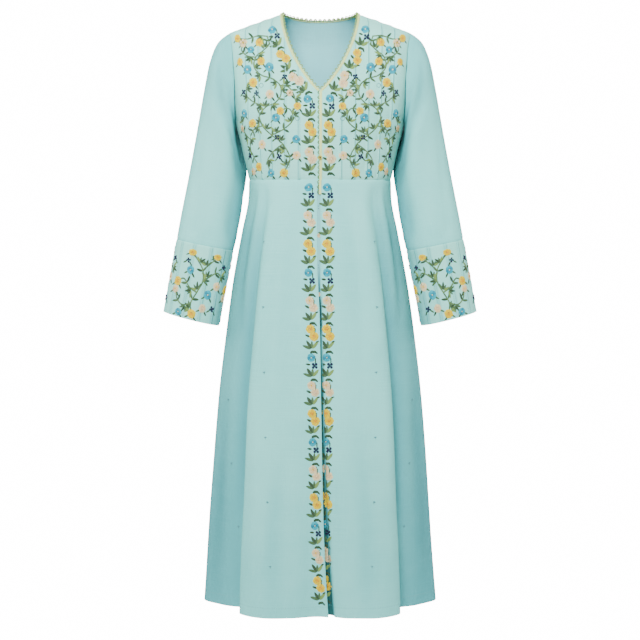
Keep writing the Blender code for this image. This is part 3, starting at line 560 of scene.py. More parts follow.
BODY_WAVES = ((61, 23, 0.4), (-37, 52, 1.9), (23, -78, 3.1), (95, 34, 5.2), (12, 41, 2.2))
SKIRT_WAVES = ((2.3, 9, 0.4), (-3.1, 14, 1.9), (1.7, -21, 3.1), (4.9, 6, 5.2), (6.1, -11, 0.9))
SEAM_GROOVE = 0.0009
SEAM_GROOVE_WIDTH = 0.0030


def groove(away):
    """The shallow trough beside a seam, where the allowance is pressed inside."""
    return -SEAM_GROOVE * np.exp(-((away / SEAM_GROOVE_WIDTH) ** 2))


# %% [markdown]
# Pintucks are narrow folds pinched out of the cloth and stitched along their foot. There are
# five up each front and twelve round each cuff. They could be separate strips, but a real
# tuck is the same cloth, so the panel's own surface rises there in a rounded ridge.

# %% Pintucks
TUCK_COUNT = 5
TUCK_FIRST = 0.041
TUCK_SPACING = 0.0272
TUCK_HALF_WIDTH = 0.0017
TUCK_HEIGHT = 0.0015
TUCK_FLAT_AT_NECK = 0.006
CUFF_TUCKS = 12
TUCK_STEPS = np.array((-1.0, -0.6, -0.25, 0.0, 0.25, 0.6, 1.0)) * TUCK_HALF_WIDTH


def rounded_ridge(away):
    """The rise of a tuck at a distance from its middle."""
    return TUCK_HEIGHT * np.cos(np.clip(away / TUCK_HALF_WIDTH, -1.0, 1.0) * math.pi / 2) ** 0.8


def tuck_centres():
    return TUCK_FIRST + TUCK_SPACING * np.arange(TUCK_COUNT)


NECK_SAMPLES = neck_line(60)


def tuck_rise(flat):
    """How far the tucks raise a front panel. They are stitched flat under the edging."""
    away = np.abs(np.abs(flat[:, 0])[:, None] - tuck_centres()).min(axis=1)
    offset = (np.abs(flat) * (1.0, -1.0))[:, None, :] - NECK_SAMPLES[None]
    from_neck = np.hypot(offset[..., 0], offset[..., 1]).min(axis=1)
    flattened = np.clip((from_neck - TUCK_FLAT_AT_NECK) / TUCK_FLAT_AT_NECK, 0.0, 1.0)
    return rounded_ridge(away) * flattened


def cuff_tuck_centres():
    return (np.arange(CUFF_TUCKS) + 0.5) * 2 * math.pi / CUFF_TUCKS


CUFF_RADIUS = 0.5 * (SLEEVE_SECTIONS["outer_x"][-1] - SLEEVE_SECTIONS["inner_x"][-1])


def cuff_rise(turn):
    away = np.abs(np.mod(turn, 2 * math.pi)[:, None] - cuff_tuck_centres()).min(axis=1)
    return rounded_ridge(away * CUFF_RADIUS)


print(TUCK_COUNT, "tucks up each front,", CUFF_TUCKS, "round each cuff")

# %% [markdown]
# ## Skins
#
# A skin is the finished outer face of a panel: the form, with its creases, tucks and seam
# grooves. Panels are meshed from their skins, and the embroidery is bent over the same
# skins, so thread rises over a tuck and sinks into a fold exactly as the cloth does.

# %% The bodice's skins


def distance_to(flat, line):
    """The distance from flat points to a line through flat points."""
    start, run = line[:-1], np.diff(line, axis=0)
    best = np.full(len(flat), 1.0)
    for a, r in zip(start, run):
        offset = flat - a
        share = np.clip((offset @ r) / max(r @ r, 1e-12), 0.0, 1.0)
        away = offset - share[:, None] * r
        best = np.minimum(best, np.hypot(away[:, 0], away[:, 1]))
    return best


def bodice_seam(front):
    """The seams of half a bodice panel: waist, side, armhole and shoulder, as one line."""
    waist_arc = side_arc(WAIST, front)[0]
    turn = np.linspace(0.0, math.pi, 25)[::-1]
    return np.vstack([
        [(0.0, WAIST), (waist_arc, WAIST)],
        side_seam_flat(front, 5)[::-1],
        armhole_flat(turn, front),
        shoulder_flat(front, 12)[1:],
    ])


FRONT_SEAM = bodice_seam(True)
BACK_SEAM = bodice_seam(False)


def front_skin(flat):
    """The finished face of either front, for points (arc from the centre front, height)."""
    both = np.abs(flat) * (1.0, -1.0)
    fade = ease(distance_to(both, FRONT_SEAM) / 0.010)
    lift = crease_depth(both, BODICE_CREASES) * fade
    lift += unevenness(flat, BODY_WAVES, 0.0006) * fade
    lift += groove(distance_to(both, FRONT_SEAM)) + tuck_rise(flat)
    return on_front(flat) + surface_normals(on_front, flat) * lift[:, None]


def back_skin(flat):
    both = np.abs(flat) * (1.0, -1.0)
    fade = ease(distance_to(both, BACK_SEAM) / 0.012)
    lift = crease_depth(flat, BACK_CREASES) * fade
    lift += unevenness(flat, BODY_WAVES, 0.0010) * fade + groove(distance_to(both, BACK_SEAM))
    return on_back(flat) + surface_normals(on_back, flat) * lift[:, None]


# %% [markdown]
# The skirt's cloth goes on a little way up inside the bodice, as a seam allowance does, so that
# no light shows through the waist seam. The left front sinks beside the lapped edge, and painted
# shade darkens the same band, which together make the dark line down the opening. That line
# widens towards the hem.

# %% The skirt's skin
WAIST_ALLOWANCE = 0.008
TUCKED_IN = 0.0016
LAP_SHADOW_TOP = -0.46
LAP_SHADOW_DEPTH = 0.011
LAP_SHADOW_WIDTHS = (0.0030, 0.0085)
METRES_PER_STATION = 0.235 / 6 * 2.4
SLIT_SIDES = {"left": ("left_x", -1.0), "right": ("right_x", 1.0), "back": (None, 0.0)}


def lap_shadow(flat):
    """From 0 to 1: how near the left front is to the lapped edge, where that edge stands off."""
    height = flat[:, 1]
    from_lap = skirt_point(flat)[:, 0] - column(SLIT_EDGES, "right_x", height)
    narrow, wide = LAP_SHADOW_WIDTHS
    reach = narrow + (wide - narrow) * ease((LAP_SHADOW_TOP - height) / 0.72)
    return ease((LAP_SHADOW_TOP - height) / 0.20) * np.exp(-((from_lap / reach) ** 4))


def skirt_skin(flat, side):
    """The finished face of a skirt panel, for points (station, height)."""
    height = flat[:, 1]
    middle = skirt_point(flat)
    normal = surface_normals(skirt_point, flat, 1e-3)
    lift = crease_depth(flat, SKIRT_CREASES) * ease((WAIST - height) / 0.030)
    lift += unevenness(flat, SKIRT_WAVES, 0.0012) * ease((WAIST - height) / 0.060)
    lift += groove(WAIST - height)
    lift -= TUCKED_IN * ease((height - WAIST + 0.0005) / 0.002)
    for station in (SIDE_STATION, LAP - SIDE_STATION):
        lift += groove((flat[:, 0] - station) * METRES_PER_STATION)
    edge_name, direction = SLIT_SIDES[side]
    if edge_name:
        away = np.abs(middle[:, 0] - column(SLIT_EDGES, edge_name, height))
        near = ease(1 - away / LAP_WIDTH)
        lift *= 1 - 0.8 * near
        lift += direction * column(SLIT_EDGES, "lift", height) * near
    if side == "left":
        lift -= LAP_SHADOW_DEPTH * lap_shadow(flat)
    return middle + normal * lift[:, None]


# %% [markdown]
# Embroidery on the skirt is placed by its distance from the opening's edge, which isn't a
# station. A table of arc lengths at sixty heights turns one into the other.

# %% From distance round the skirt to station
TABLE_HEIGHTS = np.linspace(WAIST, HEM - 0.002, 61)
TABLE_STATIONS = np.linspace(-1.0, LAP + 1.0, 961)


def arc_table():
    rows = []
    for height in TABLE_HEIGHTS:
        line = skirt_point(np.stack([TABLE_STATIONS, np.full(961, height)], axis=1))
        step = np.linalg.norm(np.diff(line, axis=0), axis=1)
        rows.append(np.concatenate([[0.0], np.cumsum(step)]))
    return np.array(rows)


SKIRT_ARCS = arc_table()


def slit_start(side, height):
    """The station where a panel's distances start, at each height."""
    if side == "back":
        return np.full(len(height), float(BACK_STATION))
    edge = slit_station(column(SLIT_EDGES, SLIT_SIDES[side][0], height), height)
    return edge if side == "left" else edge + LAP


SKIRT_STARTS = {side: slit_start(side, TABLE_HEIGHTS) for side in SLIT_SIDES}


def station_at(flat, side):
    """Stations of points (distance from the slit edge, or from the centre back, height)."""
    place = (flat[:, 1] - TABLE_HEIGHTS[0]) / (TABLE_HEIGHTS[1] - TABLE_HEIGHTS[0])
    row = np.clip(np.floor(place).astype(int), 0, 59)
    share = place - row
    found = []
    for k in (0, 1):
        stations = np.zeros(len(flat))
        for i in np.unique(row):
            mine = row == i
            arcs = SKIRT_ARCS[i + k]
            origin = np.interp(SKIRT_STARTS[side][i + k], TABLE_STATIONS, arcs)
            stations[mine] = np.interp(origin + flat[mine, 0], arcs, TABLE_STATIONS)
        found.append(stations)
    return found[0] * (1 - share) + found[1] * share


def skirt_panel_skin(side):
    """The skin of one panel for points (distance, height), as embroidery is placed."""
    return lambda flat: skirt_skin(np.stack([station_at(flat, side), flat[:, 1]], 1), side)


print("skirt, once round the hem", round(float(SKIRT_ARCS[-1][-41] - SKIRT_ARCS[-1][40]), 3), "m")

# %% The sleeve's and the cuff's skins


def arm_skin(flat):
    """The finished face of the left sleeve or cuff, for points (turn, minus the station)."""
    turn, station = flat[:, 0], -flat[:, 1]
    normal = -surface_normals(sleeve_point, flat, 1e-3)
    lift = tube_crease_depth(station, turn, SLEEVE_CREASES + SLEEVE_SMALL_CREASES)
    on_cuff = station > CUFF_STATION
    lift = np.where(on_cuff, tube_crease_depth(station, turn, CUFF_CREASES), lift)
    lift += groove((station - CUFF_STATION) * 0.15) + groove(station * 0.02)
    lift += np.where(on_cuff, cuff_rise(turn) * ease((station - CUFF_STATION) * 20), 0.0)
    return sleeve_point(flat) + normal * lift[:, None]


CUFF_LENGTH = 0.152


def cuff_arcs():
    """Turns once round the cuff and the distance round to each, at its middle."""
    turns = np.linspace(-math.pi, 3 * math.pi, 721)
    line = sleeve_point(np.stack([turns, np.full(721, -7.6)], axis=1))
    step = np.linalg.norm(np.diff(line, axis=0), axis=1)
    return turns, np.concatenate([[0.0], np.cumsum(step)])


CUFF_TURNS, CUFF_ARCS = cuff_arcs()
CUFF_ROUND = float(CUFF_ARCS[360])


def cuff_skin(sign):
    """A cuff's skin for points (distance round from its front, distance up from its end)."""
    front = np.interp(math.pi / 2, CUFF_TURNS, CUFF_ARCS)

    def skin(flat):
        turn = np.interp(front - sign * flat[:, 0], CUFF_ARCS, CUFF_TURNS)
        station = CUFF_END_STATION - flat[:, 1] / CUFF_LENGTH
        return arm_skin(np.stack([turn, -station], axis=1)) * (sign, 1.0, 1.0)

    return skin


print("cuff, once round", round(CUFF_ROUND, 3), "m")

# %% [markdown]
# Shade is painted into the cloth's colour: darker in its folds, on the skirt's side panels,
# towards the hem, beside seams and tucks, inside the back, over the sleeve heads and on the
# sleeves' inner sides. A number from 0 to 2 for each point says how much painted shade the
# place gets: 1 is a deep fold and 2 is the dark line where one edge laps over another.

# %% How much painted shade each place gets
# How strong the painted shade is in each place.
SIDE_SHADE = 0.74
HEM_SHADE = 0.20
LAP_SHADE = 2.0
SEAM_SHADE = 0.50
BODICE_TUCK_SHADE = 0.55
CUFF_TUCK_SHADE = 0.40
BACK_SIDE_SHADE = 0.42
BACK_LOW_SHADE = 0.40
SHOULDER_SHADE = 0.55
ARM_SHADE = (1.32, 0.45)


def beside_tucks(away):
    """From 0 to 1: how near a place is to the foot of a tuck."""
    return np.exp(-(((away - TUCK_HALF_WIDTH) / TUCK_HALF_WIDTH) ** 2)).max(axis=1)


def skirt_painted_shade(flat, side):
    station, height = flat.T
    # Painted shade: darker on the side panels beyond each long fold, towards the hem, in the
    # deeper creases, and on the left front beside the lapped edge.
    turned = np.minimum(station, LAP - station)
    beside = ease((turned - 2.9) / 1.6) * (1 - ease((turned - 6.6) / 1.6))
    painted_shade = SIDE_SHADE * beside * ease((WAIST + 0.010 - height) / 0.14)
    painted_shade += HEM_SHADE * ease((-0.78 - height) / 0.36)
    painted_shade += np.clip(-crease_depth(flat, SKIRT_CREASES) / 0.014, 0.0, 0.5)
    if side == "left":
        painted_shade += LAP_SHADE * lap_shadow(flat)
    return painted_shade


def bodice_painted_shade(flat):
    # Painted shade: beside the side seams and the lower armholes, and at the foot of each tuck.
    both = np.abs(flat) * (1.0, -1.0)
    low = ease((-0.120 - flat[:, 1]) / 0.080)
    seam = np.exp(-((distance_to(both, FRONT_SEAM[2:]) / 0.012) ** 2))
    away = np.abs(flat[:, 0])[:, None] - tuck_centres()
    return SEAM_SHADE * seam * low + BODICE_TUCK_SHADE * beside_tucks(away)


def back_inside_painted_shade(flat):
    """Painted shade on the inside of the back, which the fronts shade, except below the back neck.
    """
    beside = BACK_SIDE_SHADE * ease((np.abs(flat[:, 0]) - 0.018) / 0.050)
    return beside + BACK_LOW_SHADE * ease((-0.060 - flat[:, 1]) / 0.100)


def arm_painted_shade(flat):
    # Painted shade: on the inner side of each sleeve, over its head near the shoulder, in its
    # deeper creases and at the foot of each cuff tuck.
    degrees, station = np.degrees(np.mod(flat[:, 0], 2 * math.pi)), -flat[:, 1]
    beside = np.exp(-(((degrees - 165) / 44) ** 2)) * ease(station / 1.6 + 0.1)
    creases = tube_crease_depth(station, flat[:, 0], SLEEVE_CREASES)
    full, lost = ARM_SHADE
    fading = full - lost * ease((station - 4.2) / 1.8)
    high = SHOULDER_SHADE * (1 - ease(station / 4.8))
    away = np.abs(np.mod(flat[:, 0], 2 * math.pi)[:, None] - cuff_tuck_centres()) * CUFF_RADIUS
    cuff_tucks = CUFF_TUCK_SHADE * beside_tucks(away) * (station >= CUFF_STATION)
    return beside * fading + high + cuff_tucks + np.clip(-creases / 0.020, 0.0, 0.35)


print("deepest shade at the opening", LAP_SHADE)

# %% [markdown]
# ## Materials
#
# The cloth is a plain weave of cotton with slubs, the thick places in hand-spun yarn. A
# picture of cloth could be wrapped on it, but a procedural weave stays sharp at any distance
# and is measured in metres on the cloth's own flat coordinates. Sums of node values are
# written as Python expressions, with a small class that wraps a socket.

# %% A socket that takes part in arithmetic


class Wire:
    """A node's output socket. Arithmetic on it adds Math nodes."""

    def __init__(self, tree, socket):
        self.tree = tree
        self.socket = socket

    def node(self, kind, settings=None, **inputs):
        """Any node: its type, its settings first, then the values or links of its sockets."""
        return add_node(self.tree, kind, settings, **inputs)

    def math(self, operation, *others):
        return self.node("ShaderNodeMath", {"operation": operation}, s0=self,
                         **{f"s{i + 1}": other for i, other in enumerate(others)})[0]

    def __add__(self, other):
        return self.math("ADD", other)

    __radd__ = __add__

    def __mul__(self, other):
        return self.math("MULTIPLY", other)

    __rmul__ = __mul__

    def __sub__(self, other):
        return self.math("SUBTRACT", other)

    def __rsub__(self, other):
        return self.math("MULTIPLY", -1.0) + other

    def __truediv__(self, other):
        return self.math("DIVIDE", other)

    def __pow__(self, other):
        return self.math("POWER", other)

    def sine(self):
        return self.math("SINE")

    def size(self):
        return self.math("ABSOLUTE")

    def clamped(self, low=0.0, high=1.0):
        return self.node("ShaderNodeClamp", None, Value=self, Min=low, Max=high)[0]


def add_node(tree, kind, settings=None, **inputs):
    """A node's output wires. An input is named by its socket, or s0, s1 for its place."""
    node = tree.nodes.new(kind)
    for name, value in (settings or {}).items():
        setattr(node, name, value)
    for name, value in inputs.items():
        by_place = name[0] == "s" and name[1:].isdigit()
        socket = node.inputs[int(name[1:])] if by_place else node.inputs[name.replace("_", " ")]
        if isinstance(value, Wire):
            tree.links.new(value.socket, socket)
        elif isinstance(value, bpy.types.NodeSocket):
            tree.links.new(value, socket)
        else:
            socket.default_value = value
    return [Wire(tree, socket) for socket in node.outputs if socket.enabled]


def new_material(name, roughness, sheen, sheen_tint=(1.0, 1.0, 1.0, 1.0)):
    """A material with a Principled shader whose constant values are set on its sockets."""
    material = bpy.data.materials.new(name)
    material.use_nodes = True
    shader = material.node_tree.nodes["Principled BSDF"]
    shader.inputs["Roughness"].default_value = roughness
    shader.inputs["Sheen Weight"].default_value = sheen
    shader.inputs["Sheen Roughness"].default_value = 0.5
    shader.inputs["Sheen Tint"].default_value = sheen_tint
    shader.inputs["Specular IOR Level"].default_value = 0.25
    return material, material.node_tree, shader


def mixed(tree, factor, first, second):
    """A colour between two, by a factor."""
    return add_node(tree, "ShaderNodeMix", {"data_type": "RGBA"}, s0=factor, s6=first,
                    s7=second)[0]


# %% Colours of dyes


def dyed(red, green, blue):
    """A dye from its everyday 0 to 255 values."""
    return tuple(((v / 255 + 0.055) / 1.055) ** 2.4 for v in (red, green, blue)) + (1.0,)


# %% The woven cloth
YARNS_PER_METRE = 1900
# Tints that the painted shade multiplies the cloth's colour by: the first is reached at 1, the
# second at 2.
PAINTED_SHADE_TINTS = ((0.0, (0.40, 0.56, 0.64, 1.0)), (1.0, (0.20, 0.23, 0.22, 1.0)))


def woven_cloth(name, colour, deep, pale, slub=1.0, weave=1.0):
    """Plain weave with slubs. Deep and pale are the colours that it drifts towards."""
    material, tree, shader = new_material(name, 0.86, 0.03, (0.50, 0.85, 0.85, 1.0))
    shader.inputs["Specular IOR Level"].default_value = 0.10
    uv = add_node(tree, "ShaderNodeUVMap", {"uv_map": "UVMap"})[0]
    u, v, _ = add_node(tree, "ShaderNodeSeparateXYZ", None, Vector=uv)
    warp = (u * (math.pi * YARNS_PER_METRE)).sine().size()
    weft = (v * (math.pi * YARNS_PER_METRE)).sine().size()
    over = ((u + v) * (math.pi * YARNS_PER_METRE / 2)).sine() * 0.5 + 0.5
    yarns = warp * over + weft * (1 - over)

    def streaks(across, along, detail):
        place = add_node(tree, "ShaderNodeCombineXYZ", None, X=u * across, Y=v * along)[0]
        return add_node(tree, "ShaderNodeTexNoise", {"noise_dimensions": "2D"}, Vector=place,
                        Scale=1.0, Detail=detail, Roughness=0.55)[0]

    upright = streaks(900, 14, 2.0)
    level = streaks(11, 1000, 2.0)
    slubs = (level * 0.6 + upright * 0.4 - 0.5) * slub
    drift = streaks(9, 7, 3.0)
    cloudy = ((drift - 0.35) * 2.2).clamped()
    base = mixed(tree, cloudy, deep, pale)
    tone = (slubs * 1.5 + 0.5).clamped()
    base = mixed(tree, tone, base, colour)
    lighter = ((slubs - 0.03) * 5.0).clamped() * 0.35
    base = mixed(tree, lighter, base, tuple(min(1.0, c * 1.22) for c in colour[:3]) + (1.0,))
    # Painted shade: the colour is multiplied towards the two tints in turn as the painted_shade
    # attribute rises from 0 to 2.
    painted_shade = add_node(tree, "ShaderNodeAttribute", {"attribute_name": "painted_shade"})[2]
    for step, shade_tint in PAINTED_SHADE_TINTS:
        shaded = add_node(tree, "ShaderNodeMix", {"data_type": "RGBA", "blend_type": "MULTIPLY"},
                          s0=1.0, s6=base, s7=shade_tint)[0]
        base = mixed(tree, (painted_shade - step).clamped(), base, shaded)
    tree.links.new(base.socket, shader.inputs["Base Color"])
    crumple = streaks(38, 30, 4.0)
    height = yarns * (0.00010 * weave) + slubs * 0.0009 + crumple * 0.0016
    bump = add_node(tree, "ShaderNodeBump", None, Strength=0.55, Distance=1.0, Height=height)[0]
    tree.links.new(bump.socket, shader.inputs["Normal"])
    rough = (0.90 - slubs * 0.3).clamped(0.7, 1.0)
    tree.links.new(rough.socket, shader.inputs["Roughness"])
    return material


SKIRT_CLOTH = woven_cloth(
    "aqua slub cotton", (0.225, 0.72, 0.67, 1), (0.19, 0.66, 0.62, 1), (0.26, 0.77, 0.71, 1))
BODICE_CLOTH = woven_cloth(
    "aqua bodice cotton", (0.28, 0.76, 0.66, 1), (0.24, 0.71, 0.62, 1), (0.33, 0.80, 0.69, 1))
# The inner faces get a lighter, bluer copy of the aqua cotton: painted light, for light that comes
# through the thin cloth.
INSIDE_CLOTH_WITH_PAINTED_LIGHT = woven_cloth(
    "inside of the aqua cotton with painted light", (0.27, 0.74, 0.77, 1), (0.24, 0.70, 0.73, 1),
    (0.31, 0.78, 0.80, 1))
STRIP_CLOTH = woven_cloth(
    "blue grey strip cotton", (0.20, 0.54, 0.54, 1), (0.18, 0.50, 0.50, 1),
    (0.23, 0.58, 0.57, 1), slub=0.6)
print("woven cloths:", SKIRT_CLOTH.name, BODICE_CLOTH.name, STRIP_CLOTH.name)

# %% [markdown]
# ## Cloth pieces
#
# Real cloth is about half a millimetre thick, with a turned edge. Each panel is a thin
# closed wall: its outer points lie on the skin and its inner points just behind them. The
# fronts and the back have curved outlines, so they are filled by a triangulation. The skirt
# and the sleeves are grids that follow their own lengths.

# %% A wall from outer points
SHELL = 0.0009
CLOTH_PIECES = {}


def rim_edges(faces):
    """The edges that only one face uses, as that face runs along them."""
    edges = {}
    for face in faces:
        for a, b in zip(face, face[1:] + face[:1]):
            edges[(a, b)] = True
    return [edge for edge in edges if (edge[1], edge[0]) not in edges]


def corner_values(mesh, values, lap=None):
    """UV values of every corner. On a closed tube the first ones go on past the last."""
    corners = np.empty(len(mesh.loops), int)
    mesh.loops.foreach_get("vertex_index", corners)
    uv = values[corners].astype(float)
    if lap:
        for polygon in mesh.polygons:
            mine = slice(polygon.loop_start, polygon.loop_start + polygon.loop_total)
            if np.ptp(uv[mine, 0]) > lap / 2:
                uv[mine, 0] = np.where(uv[mine, 0] < lap / 2, uv[mine, 0] + lap, uv[mine, 0])
    return uv


def cloth_piece(name, node, outer, normal, faces, uv, material, lap=None, painted_shade=None,
                inside_painted_shade=None):
    """A thin closed wall that rides the body and stands for its plain solid."""
    count = len(outer)
    inner = outer - normal * SHELL
    inside = [tuple(i + count for i in reversed(face)) for face in faces]
    rim = [(b, a, a + count, b + count) for a, b in rim_edges(faces)]
    mesh = bpy.data.meshes.new(name)
    mesh.from_pydata(np.vstack([outer, inner]).tolist(), [], faces + inside + rim)
    mesh.shade_smooth()
    mesh.set_sharp_from_angle(angle=math.radians(60))
    values = corner_values(mesh, np.vstack([uv, uv]), lap)
    mesh.uv_layers.new(name="UVMap").data.foreach_set("uv", values.ravel())
    # Painted shade per point for the outer and inner faces, held here in depth and read by the
    # cloth's material.
    depth = np.zeros(count) if painted_shade is None else painted_shade
    depth = np.concatenate([depth, depth if inside_painted_shade is None else inside_painted_shade])
    mesh.attributes.new("painted_shade", "FLOAT", "POINT").data.foreach_set("value", depth)
    mesh.materials.append(material)
    # The inner faces take the cotton with painted light.
    mesh.materials.append(INSIDE_CLOTH_WITH_PAINTED_LIGHT)
    slots = np.repeat((0, 1, 0), (len(faces), len(inside), len(rim)))
    mesh.polygons.foreach_set("material_index", slots)
    obj = bpy.data.objects.new(name, mesh)
    bpy.context.scene.collection.objects.link(obj)
    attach(obj, "root")
    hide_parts(node)
    CLOTH_PIECES[name] = obj
    print(name, len(mesh.polygons), "faces")
    return obj


# %% Filling a flat outline


def inside_outline(points, outline):
    start, end = outline, np.roll(outline, -1, axis=0)
    inside = np.zeros(len(points), bool)
    x, y = points.T
    for a, b in zip(start, end):
        crosses = (a[1] > y) != (b[1] > y)
        rise = b[1] - a[1] if abs(b[1] - a[1]) > 1e-12 else 1e-12
        inside ^= crosses & (x < a[0] + (y - a[1]) * (b[0] - a[0]) / rise)
    return inside


def inset_line(outline, depth, spacing):
    """Points at a depth inside a closed outline that runs anticlockwise, evenly apart."""
    closed = np.vstack([outline, outline[:1]])
    step = np.linalg.norm(np.diff(closed, axis=0), axis=1)
    along = np.concatenate([[0.0], np.cumsum(step)])
    at = np.arange(0.0, along[-1], spacing)
    line = np.stack([np.interp(at, along, closed[:, k]) for k in range(2)], axis=1)
    run = np.roll(line, -1, axis=0) - np.roll(line, 1, axis=0)
    inward = np.stack([-run[:, 1], run[:, 0]], axis=1)
    return line + depth * inward / np.linalg.norm(inward, axis=1)[:, None]


def filled(outline, columns, rows, extra=()):
    """Triangles that fill a flat outline, with a grid inside and a line just inside it."""
    closed = np.vstack([outline, outline[:1]])
    grid = np.array([(a, h) for h in rows for a in columns])
    grid = grid[inside_outline(grid, outline)]
    grid = grid[distance_to(grid, closed) > 0.0034]
    border = inset_line(outline, 0.0019, 0.0045)
    border = border[inside_outline(border, outline)]
    border = border[distance_to(border, closed) > 0.0017]
    points = np.vstack([outline, grid, border, *extra])
    edges = [(i, (i + 1) % len(outline)) for i in range(len(outline))]
    found = delaunay_2d_cdt([tuple(p) for p in points], edges, [], 1, 1e-7)
    flat = np.array([tuple(p) for p in found[0]], float)
    return flat, [tuple(face) for face in found[2]]


# %% The fronts of the bodice
EDGE = 0.0008


def front_outline():
    """The wearer's left front, anticlockwise from the centre front at the waist."""
    waist_arc = side_arc(WAIST, True)[0]
    turn = np.linspace(0.0, math.pi, 45)[::-1]
    along_waist = np.linspace(EDGE, waist_arc, 60)
    centre = np.linspace(V_POINT, WAIST, 44)[:-1]
    return np.vstack([
        np.stack([along_waist, np.full(60, WAIST)], axis=1),
        side_seam_flat(True, 28)[::-1],
        armhole_flat(turn, True),
        shoulder_flat(True, 26)[1:],
        neck_line(60)[1:-1],
        np.stack([np.full(43, EDGE), centre], axis=1),
    ])


def front_columns():
    """Columns that are close together over each tuck, and even between them."""
    tucks = (tuck_centres()[:, None] + TUCK_STEPS).ravel()
    between = [TUCK_FIRST + TUCK_SPACING * (k + share)
               for k in range(-1, TUCK_COUNT + 3) for share in (0.18, 0.34, 0.5, 0.66, 0.82)]
    plain = [a for a in between if 0.004 < a < 0.22]
    whole = [TUCK_FIRST + TUCK_SPACING * k for k in range(TUCK_COUNT, TUCK_COUNT + 3)]
    return np.sort(np.concatenate([tucks, plain, whole, [0.006]]))


def add_fronts():
    outline = front_outline()
    rows = np.arange(WAIST + 0.004, -0.006, 0.0042)
    flat, faces = filled(outline, front_columns(), rows)
    for side, sign in (("left", 1), ("right", -1)):
        mine = flat * (sign, 1.0)
        turned = faces if sign > 0 else [face[::-1] for face in faces]
        outer = front_skin(mine)
        normal = surface_normals(on_front, mine)
        obj = cloth_piece(f"front_cloth_{side}", f"bodice_front_{side}", outer, normal, turned,
                          mine, BODICE_CLOTH, painted_shade=bodice_painted_shade(mine))


add_fronts()

# %% The back of the bodice


def back_outline():
    waist_arc = side_arc(WAIST, False)[0]
    turn = np.linspace(0.0, math.pi, 41)[::-1]
    half = np.vstack([
        [(waist_arc, WAIST)],
        side_seam_flat(False, 24)[::-1],
        armhole_flat(turn, False),
        shoulder_flat(False, 24)[1:],
    ])
    neck = back_neck_flat(30)
    other = np.vstack([half, neck[:-1]])[::-1] * (-1.0, 1.0)
    along_waist = np.linspace(-waist_arc, waist_arc, 81)[1:-1]
    bottom = np.stack([along_waist, np.full(79, WAIST)], axis=1)
    return np.vstack([half, neck, other, bottom])


def add_back():
    outline = back_outline()
    columns = np.arange(-0.22, 0.2201, 0.0055)
    flat, faces = filled(outline, columns, np.arange(WAIST + 0.005, -0.008, 0.0055))
    obj = cloth_piece("back_cloth", "bodice_back", back_skin(flat),
                      surface_normals(on_back, flat), faces, flat, SKIRT_CLOTH,
                      inside_painted_shade=back_inside_painted_shade(flat))


add_back()

# %% The skirt's panels


def grid_faces(columns, rows, closed=False):
    """Quads of a grid whose points run column by column along each row, rows going down."""
    last = columns if closed else columns - 1
    faces = []
    for j in range(rows - 1):
        for i in range(last):
            k = (i + 1) % columns
            a, b = j * columns + i, j * columns + k
            faces.append((a, a + columns, b + columns, b))
    return faces


def add_skirt_panel(side, node, first, last, columns):
    """A panel between two stations at each height, from the waist seam to the hem."""
    heights = WAIST + (HEM - WAIST) * np.linspace(0.0, 1.0, 149) ** 1.05
    heights = np.concatenate([(WAIST + WAIST_ALLOWANCE, WAIST + 0.002), heights])
    share = np.linspace(0.0, 1.0, columns)
    start, end = first(heights), last(heights)
    station = start[:, None] + (end - start)[:, None] * share
    flat = np.stack([station.ravel(), np.repeat(heights, columns)], axis=1)
    outer = skirt_skin(flat, side)
    normal = surface_normals(skirt_point, flat, 1e-3)
    step = np.linalg.norm(np.diff(outer.reshape(151, columns, 3), axis=1), axis=2)
    arc = np.concatenate([np.zeros((151, 1)), np.cumsum(step, axis=1)], axis=1)
    arc -= arc[:, -1:] / 2 if side == "back" else 0.0
    uv = np.stack([arc.ravel(), flat[:, 1]], axis=1)
    obj = cloth_piece(f"skirt_cloth_{side}", node, outer, normal,
                      grid_faces(columns, 151), uv, SKIRT_CLOTH, painted_shade=skirt_painted_shade(flat, side))


def constant(station):
    return lambda heights: np.full(len(heights), float(station))


add_skirt_panel("left", "skirt_front_left", lambda h: slit_start("left", h),
                constant(SIDE_STATION), 78)
add_skirt_panel("right", "skirt_front_right", constant(LAP - SIDE_STATION),
                lambda h: slit_start("right", h), 78)
add_skirt_panel("back", "skirt_back", constant(SIDE_STATION), constant(LAP - SIDE_STATION), 132)

# %% The strip behind the opening


def strip_skin(flat):
    """The strip's face, for points (share across it, height)."""
    share, heights = flat.T
    down = (heights - UNDERLAP["top"]) / (UNDERLAP["bottom"] - UNDERLAP["top"])
    narrowing = 1 - 0.35 * ease(down)
    x = UNDERLAP["right_x"] + (UNDERLAP["left_x"] - UNDERLAP["right_x"]) * share
    station = slit_station(x * narrowing, heights)
    place = np.stack([station, heights], axis=1)
    sunk = 0.0018 + column(SLIT_EDGES, "lift", heights) + 0.007 * ease((share - 0.55) / 0.45)
    return skirt_point(place) - surface_normals(skirt_point, place, 1e-3) * sunk[:, None]


def add_strip():
    heights = np.linspace(UNDERLAP["top"], UNDERLAP["bottom"], 60)
    share = np.linspace(0.0, 1.0, 8)
    flat = np.array([(s, h) for h in heights for s in share])
    outer = strip_skin(flat)
    down = (flat[:, 1] - UNDERLAP["top"]) / (UNDERLAP["bottom"] - UNDERLAP["top"])
    uv = np.stack([outer[:, 0], flat[:, 1]], axis=1)
    # Painted shade along the strip's edge on the wearer's left and over its lower half.
    obj = cloth_piece("strip_cloth", "slit_underlap", outer, surface_normals(strip_skin, flat),
                      grid_faces(8, 60), uv, STRIP_CLOTH,
                      painted_shade=2.0 * np.maximum(ease((flat[:, 0] - 0.60) / 0.35),
                                              ease((down - 0.50) / 0.36)))


add_strip()

# %% The sleeves and the cuffs


